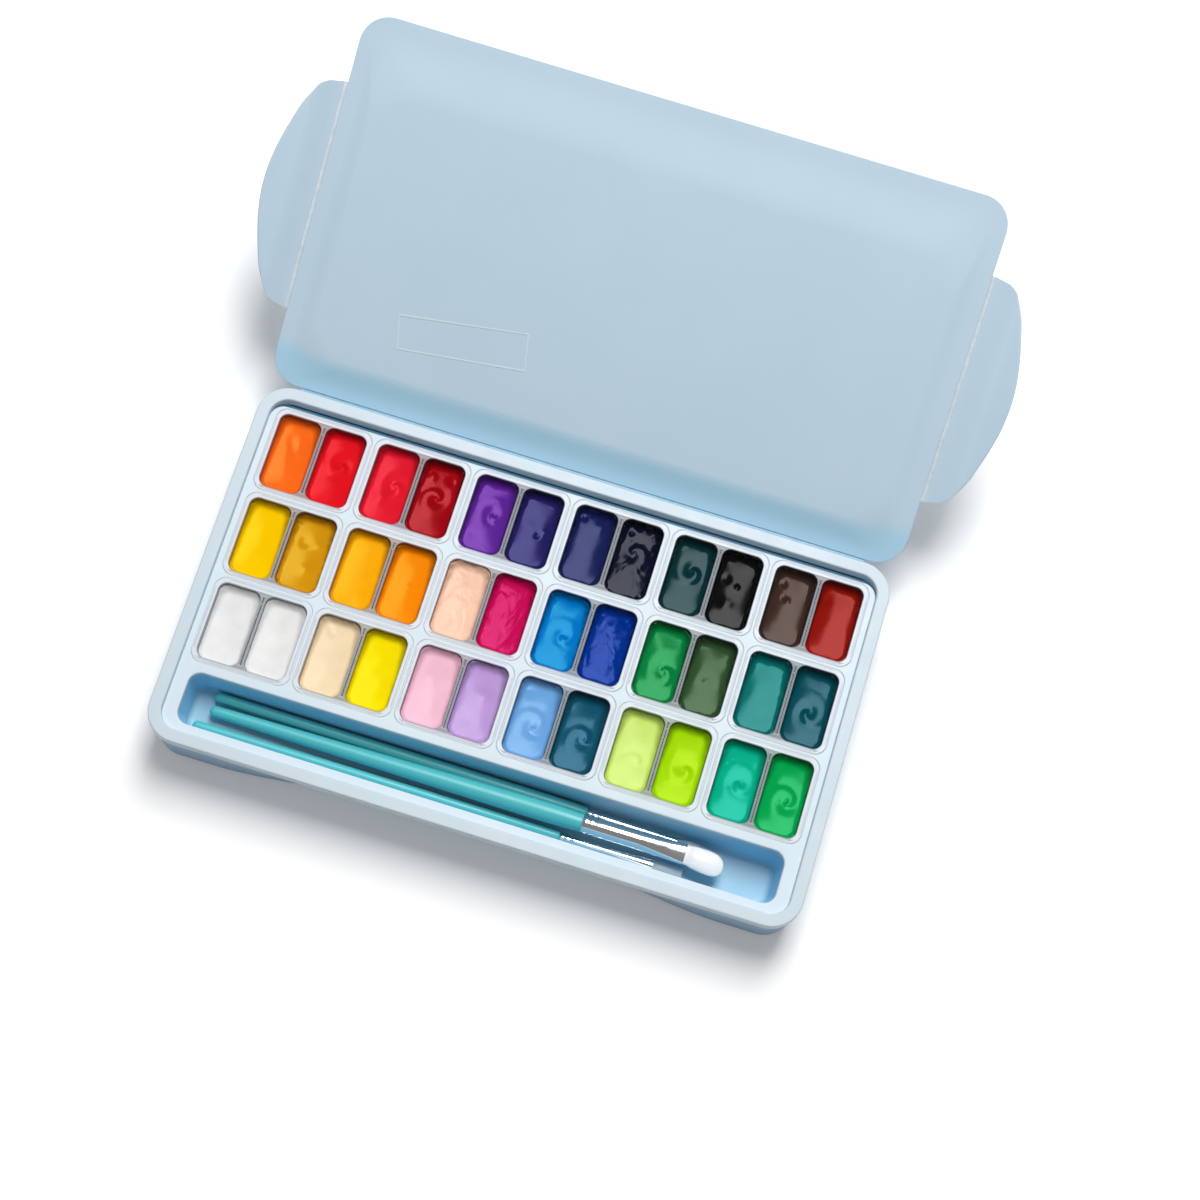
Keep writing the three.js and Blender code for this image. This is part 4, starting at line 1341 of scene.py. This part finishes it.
on_lid = Matrix.Translation((0, hinge_y, hinge_z)) @ Matrix.Rotation(math.radians(lid_open_angle), 4, "X")
print("hinge line at", round(hinge_y, 2), "and", round(hinge_z, 2), "mm")

# %% Build the lid
def lid_ring(inset, height, near=0.0, far=0.0, radius=None):
    """One ring of the lid, drawn in from its outline, and at its near and far side somewhat more."""
    half_y = (lid_far_edge - lid_near_edge) / 2 - inset - (near + far) / 2
    centre = (0, lid_middle_y + (near - far) / 2)
    outline = rounded_outline(lid_half_length - inset, half_y, radius or lid_corner - inset, 16, centre)
    return [on_lid @ Vector((x, y, height)) for x, y in outline]


def panel_rings(face):
    """The soft step from the border up to the panel."""
    rings = []
    for share in even_shares(panel_steps):
        inset = lid_border * panel_start_share + panel_ramp * share
        radius = lid_corner - lid_border * panel_corner_share + panel_soft_corner * share
        height = face + panel_rise * smooth_share(share)
        near = panel_near_start + panel_near_ramp * share
        rings.append(lid_ring(inset, height, near, panel_far_ramp * share, radius))
    return rings


lid_rings = panel_rings(lid_outer_face)[::-1]
for up, inwards in quarter_turn(4):
    lid_rings.append(lid_ring(lid_edge_round * inwards, lid_outer_face + lid_edge_round * up))
for inset, height in quarter_round(0, lid_inner_face, lid_edge_round, 4):
    lid_rings.append(lid_ring(inset, height))
lid_mesh = bmesh.new()
add_closed_skin(lid_mesh, lid_rings + panel_rings(lid_inner_face))
lid = make_piece("lid", lid_mesh, lid_plastic)
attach(lid, "lid")
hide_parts("lid_panel")
print("lid:", len(lid.data.polygons), "faces,", lid_open_angle, "degrees above level")

# %% [markdown]
# Inside the lid is a plain outlined field. Its line is only a hair of raised plastic, so a narrow frame of
# four mitred sides is enough.

# %% Build the outlined field
field_corners = ((-87.95, 40.27), (-35.81, 47.68), (-33.13, 32.74), (-85.34, 26.52))
field_line = 0.55
field_rise = 0.12
field_bevel = 0.06
field_bevel_drop = 0.04
field_sink = 0.1
field_bottom = lid_inner_face + panel_rise - field_sink
field_top = lid_inner_face + panel_rise + field_rise
field_centre = sum((Vector(corner) for corner in field_corners), Vector((0, 0))) / 4
field_rings = []
for inset, z in (
    (0, field_bottom),
    (0, field_top - field_bevel_drop),
    (field_bevel, field_top),
    (field_line - field_bevel, field_top),
    (field_line, field_top - field_bevel_drop),
    (field_line, field_bottom),
):
    ring = []
    for corner in field_corners:
        inward = field_centre - Vector(corner)
        drawn = Vector(corner) + Vector((math.copysign(inset, inward.x), math.copysign(inset, inward.y)))
        ring.append(on_lid @ Vector((drawn.x, drawn.y, z)))
    field_rings.append(ring)
field_mesh = bmesh.new()
add_skin(field_mesh, field_rings + [field_rings[0]])
bmesh.ops.remove_doubles(field_mesh, verts=field_mesh.verts, dist=0.001)
field_line_plastic = blue_plastic("field_line_plastic", "d5e3ed", 0.4)
field = make_piece("outlined_field", field_mesh, field_line_plastic)
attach(field, "lid")
print("field:", len(field.data.polygons), "faces")

# %% [markdown]
# A latch wing hangs on each end of the lid. It dips into a valley and rises again to a lip, which reaches the
# side of the rim when the box is shut. Its outline bulges out in the middle: a few points, whose corners are
# cut off again and again until the line is smooth. Sections along that line give the wing as one skin.

# %% Measure the latch wings
wing_length = 92.4
wing_reach = 21.8
wing_end_reach = 12.3
wing_thickness = 1.2
wing_valley_reach = 13
wing_valley_depth = 2.4
wing_lip_rise = 1.1
wing_end_shares = [(0.975, 0.55), (0.93, 0.85), (0.86, 0.99)]
wing_bulge_shares = [0.74, 0.6, 0.45, 0.3, 0.15, 0]
wing_swell_power = 1.3
wing_root = hinge_bead + hinge_gap
wing_hinge_x = lid_half_length + hinge_gap + hinge_bead
wing_middle_z = lid_inner_face - lid_thickness / 2
wing_steps_across = 22
wing_edge_steps = 8
print("latch wings:", wing_length, "x", wing_reach, "x", wing_thickness, "mm")

# %% Draw a latch wing
def round_off(points, rounds):
    """A smooth line through a rough one, made by cutting its corners off again and again."""
    for _ in range(rounds):
        cut = [points[0]]
        for (x, y), (next_x, next_y) in zip(points, points[1:]):
            cut.append((0.75 * x + 0.25 * next_x, 0.75 * y + 0.25 * next_y))
            cut.append((0.25 * x + 0.75 * next_x, 0.25 * y + 0.75 * next_y))
        points = [*cut, points[-1]]
    return points


def wing_height(reach):
    """How far the wing's middle stands off the plane of its hinge."""
    lip = max(reach - wing_valley_reach, 0) / (wing_reach - wing_valley_reach)
    sink = smooth_share(reach / wing_valley_reach)
    return -wing_valley_depth * sink + (wing_valley_depth + wing_lip_rise) * lip


def wing_outline():
    """Places along the wing and out from its hinge, from one end to the other."""
    half = wing_length / 2
    points = [(along * half, out * wing_end_reach) for along, out in wing_end_shares]
    for along in wing_bulge_shares:
        swell = math.cos(along * math.pi / 2) ** wing_swell_power
        points.append((along * half, wing_end_reach + (wing_reach - wing_end_reach) * swell))
    mirrored = [(-along, out) for along, out in points[:-1]]
    return round_off([*mirrored, *points[::-1]], 3)


def wing_section(along, out, root):
    """One closed section of a wing, from its root round its outer edge and back."""
    edge = wing_thickness / 2
    lower = []
    upper = []
    for share in even_shares(wing_steps_across):
        reach = wing_root + (out - edge - wing_root) * share
        place = root + (along - root) * share
        lower.append((reach, wing_height(reach) - edge, place))
        upper.append((reach, wing_height(reach) + edge, place))
    tip = []
    middle = wing_height(out - edge)
    for share in even_shares(wing_edge_steps)[1:-1]:
        angle = -math.pi / 2 + share * math.pi
        tip.append((out - edge + edge * math.cos(angle), middle + edge * math.sin(angle), along))
    return [*lower, *tip, *upper[::-1]]


outline = wing_outline()
print("wing outline:", len(outline), "points")

# %% Build the latch wings
for wing_name, side in (("left", -1), ("right", 1)):
    wing_rings = []
    for along, out in outline:
        root = along / outline[-1][0] * wing_length / 2
        wing_rings.append(
            [
                on_lid @ Vector((side * (wing_hinge_x + reach), lid_middle_y + place, wing_middle_z + height))
                for reach, height, place in wing_section(along, out, root)
            ]
        )
    wing_mesh = bmesh.new()
    wing_rows = add_skin(wing_mesh, wing_rings)
    wing_mesh.faces.new(wing_rows[0])
    wing_mesh.faces.new(wing_rows[-1])
    wing = make_piece(wing_name + "_latch_wing", wing_mesh, lid_plastic)
    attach(wing, wing_name + "_wing")
    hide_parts(wing_name + "_wing")
    print(wing_name, "wing:", len(wing.data.polygons), "faces")

# %% [markdown]
# A living hinge is a strip of the same plastic, moulded so thin that it bends.

# %% Helpers for the living hinges
hinge_inset = 14
film_thickness = 0.45
film_thinning_share = 0.35
film_steps = 8
film_overlap = 0.1
lid_film_z = 28.4
lid_film_sag = 0.25
wing_film_sag = 0.15


def film_strip(name, section, finish, half_run, place, steps=40):
    """A thin strip: a curved section, drawn along its length."""
    rings = []
    for share in even_shares(steps):
        along = half_run * (2 * share - 1)
        rings.append([place(point, along) for point in section])
    mesh = bmesh.new()
    rows = add_skin(mesh, rings)
    mesh.faces.new(rows[0])
    mesh.faces.new(rows[-1])
    return make_piece(name, mesh, finish, sharp_angle=60, even=False)


def film_section(start, end, sag):
    """The section of a strip from start to end, thinnest in the middle, where it sags a little."""
    start = Vector(start)
    end = Vector(end)
    run = end - start
    normal = Vector((-run.y, run.x)).normalized()
    upper = []
    lower = []
    for share in even_shares(film_steps):
        bend = math.sin(share * math.pi)
        middle = start + run * share - normal * sag * bend
        half = film_thickness / 2 * (1 - film_thinning_share * bend)
        upper.append(middle + normal * half)
        lower.append(middle - normal * half)
    return [*upper, *lower[::-1]]


print("hinge film:", film_thickness, "mm thick at its edges")

# %% Build the lid's hinge
lid_edge_point = on_lid @ Vector((0, lid_near_edge, wing_middle_z))
film_start = (case_half_y - film_overlap, lid_film_z)
film_end = (lid_edge_point.y + film_overlap, lid_edge_point.z)
lid_film = film_strip(
    "lid_living_hinge",
    film_section(film_start, film_end, lid_film_sag),
    wide_hinge_plastic,
    lid_half_length - hinge_inset,
    lambda point, along: Vector((along, point.x, point.y)),
)
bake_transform(lid_film)
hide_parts("lid_hinge_web")
print("lid's hinge:", len(lid_film.data.polygons), "faces")

# %% Build the wings' hinges
for wing_name, side in (("left", -1), ("right", 1)):
    start_x = lid_half_length
    end_x = wing_hinge_x + wing_root
    film_start = (start_x - film_overlap, wing_middle_z)
    film_end = (end_x + film_overlap, wing_middle_z)
    wing_film = film_strip(
        wing_name + "_living_hinge",
        film_section(film_start, film_end, wing_film_sag),
        hinge_plastic,
        wing_length / 2,
        lambda point, along: on_lid @ Vector((side * point.x, lid_middle_y + along, point.y)),
    )
    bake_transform(wing_film)
    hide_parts(wing_name + "_wing_hinge_web")
    print(wing_name, "wing's hinge:", len(wing_film.data.polygons), "faces")

# %% [markdown]
# Three brushes lie in the trough. A handle is turned wood under thick satin lacquer, so it is a lathe
# profile with a soft sheen. The ferrules are polished tube, nearly mirrors: each shows the lamp as a crisp
# stripe and for the rest the blue of the trough.

# %% The brush finishes
lacquer_colour = swatch("50bec2")
handle_lacquer, lacquer_tree, lacquer_shader = new_finish(
    "handle_lacquer", lacquer_colour, IOR=1.5, Roughness=0.36, Specular_IOR_Level=0.5
)
lacquer_cloud = noise_over(lacquer_tree, 60, 2, (0.2, 1, 1))
vary_colour(
    lacquer_tree, lacquer_shader, lacquer_cloud, tinted(lacquer_colour, 0.97), tinted(lacquer_colour, 1.03)
)
vary_roughness(lacquer_tree, lacquer_shader, noise_over(lacquer_tree, 90, 2), 0.32, 0.42)
add_relief(lacquer_tree, lacquer_shader, noise_over(lacquer_tree, 500, 2, (0.1, 1, 1)), 0.004)

ferrule_metal, ferrule_tree, ferrule_shader = new_finish(
    "ferrule_metal", (0.9, 0.9, 0.9, 1), Metallic=1.0, Roughness=0.09
)
drawing_lines = noise_over(ferrule_tree, 1600, 2, (0.02, 1, 1))
vary_roughness(ferrule_tree, ferrule_shader, drawing_lines, 0.08, 0.15)
vary_colour(ferrule_tree, ferrule_shader, noise_over(ferrule_tree, 90, 2), swatch("ebedee"), swatch("f6f7f8"))
add_relief(ferrule_tree, ferrule_shader, drawing_lines, 0.0015)


def hair(name, low, high, clearness):
    """Gummed hair: fine streaks along the brush, in colour and in relief."""
    material, tree, shader = new_finish(
        name, high, IOR=1.5, Roughness=0.35, Transmission_Weight=clearness
    )
    strands = noise_over(tree, 1800, 2, (0.03, 1, 1))
    vary_colour(tree, shader, strands, low, high)
    vary_roughness(tree, shader, strands, 0.28, 0.45)
    add_relief(tree, shader, strands, 0.02)
    return material


tuft_white = hair("tuft_white", swatch("e9edf0"), swatch("f6f8f9"), 0.0)
tuft_clear = hair("tuft_clear", swatch("bccbd6"), swatch("d3dfe7"), 0.2)
print("brush finishes ready")

# %% [markdown]
# Each brush is three pieces on one axis: the turned handle, the crimped ferrule and the tuft. The lathe turns
# places and radii along that axis into rings, and a smooth curve rounds off the handle and the tuft.

# %% Note down the three brushes
brush_seat = 0.3
ferrule_wall = 0.3
brush_sides = 40

# Radii and lengths are in millimetres. The gaps are what the trough leaves at the butt and at the point, and
# from_back, swing and rise say how far from the trough's back the brush lies and how much it turns aside and
# up along its run. Each group of shares is a place along the tuft, its width and its height there.
brushes = (
    dict(
        name="round_brush", butt=2.1, full=2.8, neck=2.5, ferrule=37.3, radius=1.65, tip=(1.3, 1.3),
        tuft=18.5, half_width=1.9, half_height=1.7, point=0.25, lean=-0.3, butt_gap=9.4, point_gap=23.3,
        from_back=4.3, swing=-1, rise=0, hair=tuft_clear, slot="tuft_clear",
        shares=(
            (0, 0.9, 0.95), (0.3, 0.97, 1), (0.6, 0.72, 0.75),
            (0.85, 0.36, 0.4), (0.97, 0.12, 0.17), (1, 0, 0.1),
        ),
    ),
    dict(
        name="filbert_brush", butt=2.3, full=3.9, neck=3.6, ferrule=42, radius=3.7, tip=(4.2, 1.4),
        tuft=15.5, half_width=4.75, half_height=1.7, point=0.5, lean=-1.2, butt_gap=9.6, point_gap=21.9,
        from_back=10.3, swing=0.1, rise=5.4, hair=tuft_white, slot="tuft_white",
        shares=(
            (0, 0.86, 0.9), (0.3, 0.96, 1), (0.6, 1, 0.8), (0.8, 0.9, 0.6),
            (0.92, 0.66, 0.4), (0.98, 0.35, 0.2), (1, 0, 0.1),
        ),
    ),
    dict(
        name="flat_brush", butt=2, full=2.3, neck=2.1, ferrule=38.5, radius=1.5, tip=(2.3, 0.9),
        tuft=12, half_width=2.4, half_height=0.8, point=2.1, lean=0, butt_gap=4.7, point_gap=36.3,
        from_back=17.5, swing=0.6, rise=0, hair=tuft_clear, slot="tuft_clear",
        shares=((0, 0.9, 0.95), (0.3, 0.97, 1), (0.7, 1, 0.8), (0.94, 1, 0.5), (1, 0.96, 0.4)),
    ),
)


def brush_frame(brush):
    """Where a brush lies: its side, its upper side and its run as one matrix."""
    reach = 2 * trough_half_x - brush["butt_gap"] - brush["point_gap"]
    run = Vector((reach, brush["swing"], brush["rise"])).normalized()
    across = Vector((0, 0, 1)).cross(run).normalized()
    up = run.cross(across)
    rotation = Matrix((across, up, run)).transposed().to_4x4()
    place = Vector((
        brush["butt_gap"] - trough_half_x,
        trough_back - brush["from_back"],
        trough_floor + brush_seat + brush["full"],
    ))
    return Matrix.Translation(place) @ rotation


def handle_length(brush):
    """What the trough leaves between the brush's gaps, ferrule and tuft."""
    gaps = brush["butt_gap"] + brush["point_gap"]
    return 2 * trough_half_x - gaps - brush["ferrule"] - brush["tuft"]


print("brush handles:", [round(handle_length(brush), 1) for brush in brushes], "mm")

# %% Helpers for the lathe
def between_points(before, start, end, after, t):
    """One coordinate of a smooth curve from start to end, at a share t of the way."""
    bend = 2 * before - 5 * start + 4 * end - after
    twist = 3 * start - before - 3 * end + after
    return 0.5 * (2 * start + (end - before) * t + bend * t**2 + twist * t**3)


def smooth_through(points, steps):
    """A smooth curve through points, with a number of steps between each two."""
    curve = []
    padded = [points[0], *points, points[-1]]
    for four in zip(padded, padded[1:], padded[2:], padded[3:]):
        for step in range(steps):
            curve.append(tuple(between_points(*values, step / steps) for values in zip(*four)))
    return [*curve, points[-1]]


def brush_ring(placed, half_width, half_height, along, aside=0.0, ripple=None):
    """An oval ring square to the brush's axis, with ripples for hair."""
    ring = []
    for side in range(brush_sides):
        angle = (side + 0.5) / brush_sides * 2 * math.pi
        swell = 1 + (ripple(angle, along) if ripple else 0)
        x = aside + half_width * swell * math.cos(angle)
        ring.append(placed @ Vector((x, half_height * swell * math.sin(angle), along)))
    return ring


def lathe(placed, profile):
    """Rings along a brush for pairs of place and radius."""
    return [brush_ring(placed, radius, radius, along) for along, radius in profile]


print("lathe ready:", brush_sides, "sides")

# %% Draw the handle
butt_steps = 6
swell_shares = ((0.35, 0.4), (0.7, 0.85), (0.9, 1))
tenon_length = 8
tenon_play = 0.2


def handle_rings(brush, placed):
    """The lacquered handle, from its rounded butt to the tenon inside the ferrule."""
    length = handle_length(brush)
    butt = brush["butt"]
    turns = [step * math.pi / (2 * butt_steps) for step in range(1, butt_steps + 1)]
    profile = [(butt * (1 - math.cos(turn)), butt * math.sin(turn)) for turn in turns]
    body = [(butt, butt)]
    body += [(share * length, butt + (brush["full"] - butt) * swell) for share, swell in swell_shares]
    body += [(length - brush["neck"] * 0.5, brush["neck"]), (length, brush["radius"])]
    profile += smooth_through(body, 8)[1:]
    tenon = brush["radius"] - ferrule_wall - tenon_play
    return lathe(placed, [*profile, (length, tenon), (length + tenon_length, tenon)])


print("a handle swells at", [share for share, swell in swell_shares], "of its length")

# %% Draw the ferrule
tube_start = 0.2
tube_edge = 0.15
tube_edge_drop = 0.1
crimp_depth = 0.175
crimp_pitch = 2.6
flatten_share = 0.55
flatten_steps = 12
mouth_depth = 3


def ferrule_rings(brush, placed):
    """The tube: two crimps, a round part and a part pressed flat towards its mouth."""
    length = handle_length(brush)
    end = length + brush["ferrule"]
    radius = brush["radius"]
    tube = [(length + tube_start, radius - tube_edge_drop), (length + tube_start + tube_edge, radius)]
    for crimp in (1, 2):
        middle = length + tube_start + crimp * crimp_pitch
        tube.append((middle - crimp_pitch / 4, radius))
        for step in range(1, 8):
            dip = crimp_depth / 2 * (1 - math.cos(step / 4 * math.pi))
            tube.append((middle + (step / 4 - 1) * crimp_pitch / 4, radius - dip))
        tube.append((middle + crimp_pitch / 4, radius))
    rings = lathe(placed, tube)
    flatten_start = length + brush["ferrule"] * flatten_share
    tip_width, tip_height = brush["tip"]
    for share in even_shares(flatten_steps):
        width = radius + (tip_width - radius) * share
        height = radius + (tip_height - radius) * share
        rings.append(brush_ring(placed, width, height, flatten_start + (end - flatten_start) * share))
    mouth = (tip_width - ferrule_wall, tip_height - ferrule_wall)
    return [*rings, brush_ring(placed, *mouth, end), brush_ring(placed, *mouth, end - mouth_depth)]


print("a ferrule is pressed flat over the last", round(1 - flatten_share, 2), "of its length")

# %% Draw the hair
tuft_play = 0.05
tuft_root = 2.8
tuft_root_land = 0.1
tuft_blend_share = 0.25
tuft_thinnest_share = 0.08
ripple_reach = 9
ripple_stretch = 0.08
ripple_seed_step = 5
ripple_share = 0.01
ripple_growth_share = 0.02


def tuft_rings(brush, placed, number):
    """The gummed hair, oval, from inside the ferrule's mouth to its point, with fine ripples."""
    end = handle_length(brush) + brush["ferrule"]

    def ripple(angle, along):
        spread = smooth_share((along - end) / brush["tuft"])
        strand = (math.cos(angle) * ripple_reach, math.sin(angle) * ripple_reach)
        fine = noise.noise(Vector((*strand, along * ripple_stretch + number * ripple_seed_step)))
        return fine * (ripple_share + ripple_growth_share * spread)

    root = [half - ferrule_wall - tuft_play for half in brush["tip"]]
    rings = [brush_ring(placed, *root, end - tuft_root), brush_ring(placed, *root, end + tuft_root_land)]
    for along, across, up in smooth_through(brush["shares"], 6)[2:]:
        width = brush["point"] + (brush["half_width"] - brush["point"]) * max(across, 0)
        blend_in = smooth_share(along / tuft_blend_share)
        width = root[0] + (width - root[0]) * blend_in
        height = brush["half_height"] * max(up, tuft_thinnest_share)
        height = root[1] + (height - root[1]) * blend_in
        aside = brush["lean"] * along
        rings.append(brush_ring(placed, width, height, end + brush["tuft"] * along, aside, ripple))
    return rings


print("a tuft starts", tuft_root, "mm inside its ferrule")

# %% Build the brushes
def brush_piece(name, rings, finish, **shading):
    """A closed piece of a brush from its rings."""
    mesh = bmesh.new()
    add_closed_skin(mesh, rings)
    return make_piece(name, mesh, finish, even=False, **shading)


for number, brush in enumerate(brushes):
    name = brush["name"]
    placed = brush_frame(brush)
    rings = handle_rings(brush, placed)
    handle = brush_piece(name + "_lacquered_handle", rings, handle_lacquer)
    rings = ferrule_rings(brush, placed)
    ferrule = brush_piece(name + "_crimped_ferrule", rings, ferrule_metal, sharp_angle=50)
    rings = tuft_rings(brush, placed, number)
    tuft = brush_piece(name + "_hair", rings, brush["hair"], sharp_angle=60)
    for piece, part, finish in (
        (handle, "handle", "handle_lacquer"),
        (ferrule, "ferrule", "ferrule_metal"),
        (tuft, "tuft", brush["slot"]),
    ):
        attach(piece, brush["name"])
        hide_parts(brush["name"] + "_" + part)
    print(name, "built,", round(handle_length(brush) + brush["ferrule"] + brush["tuft"], 1), "mm long")
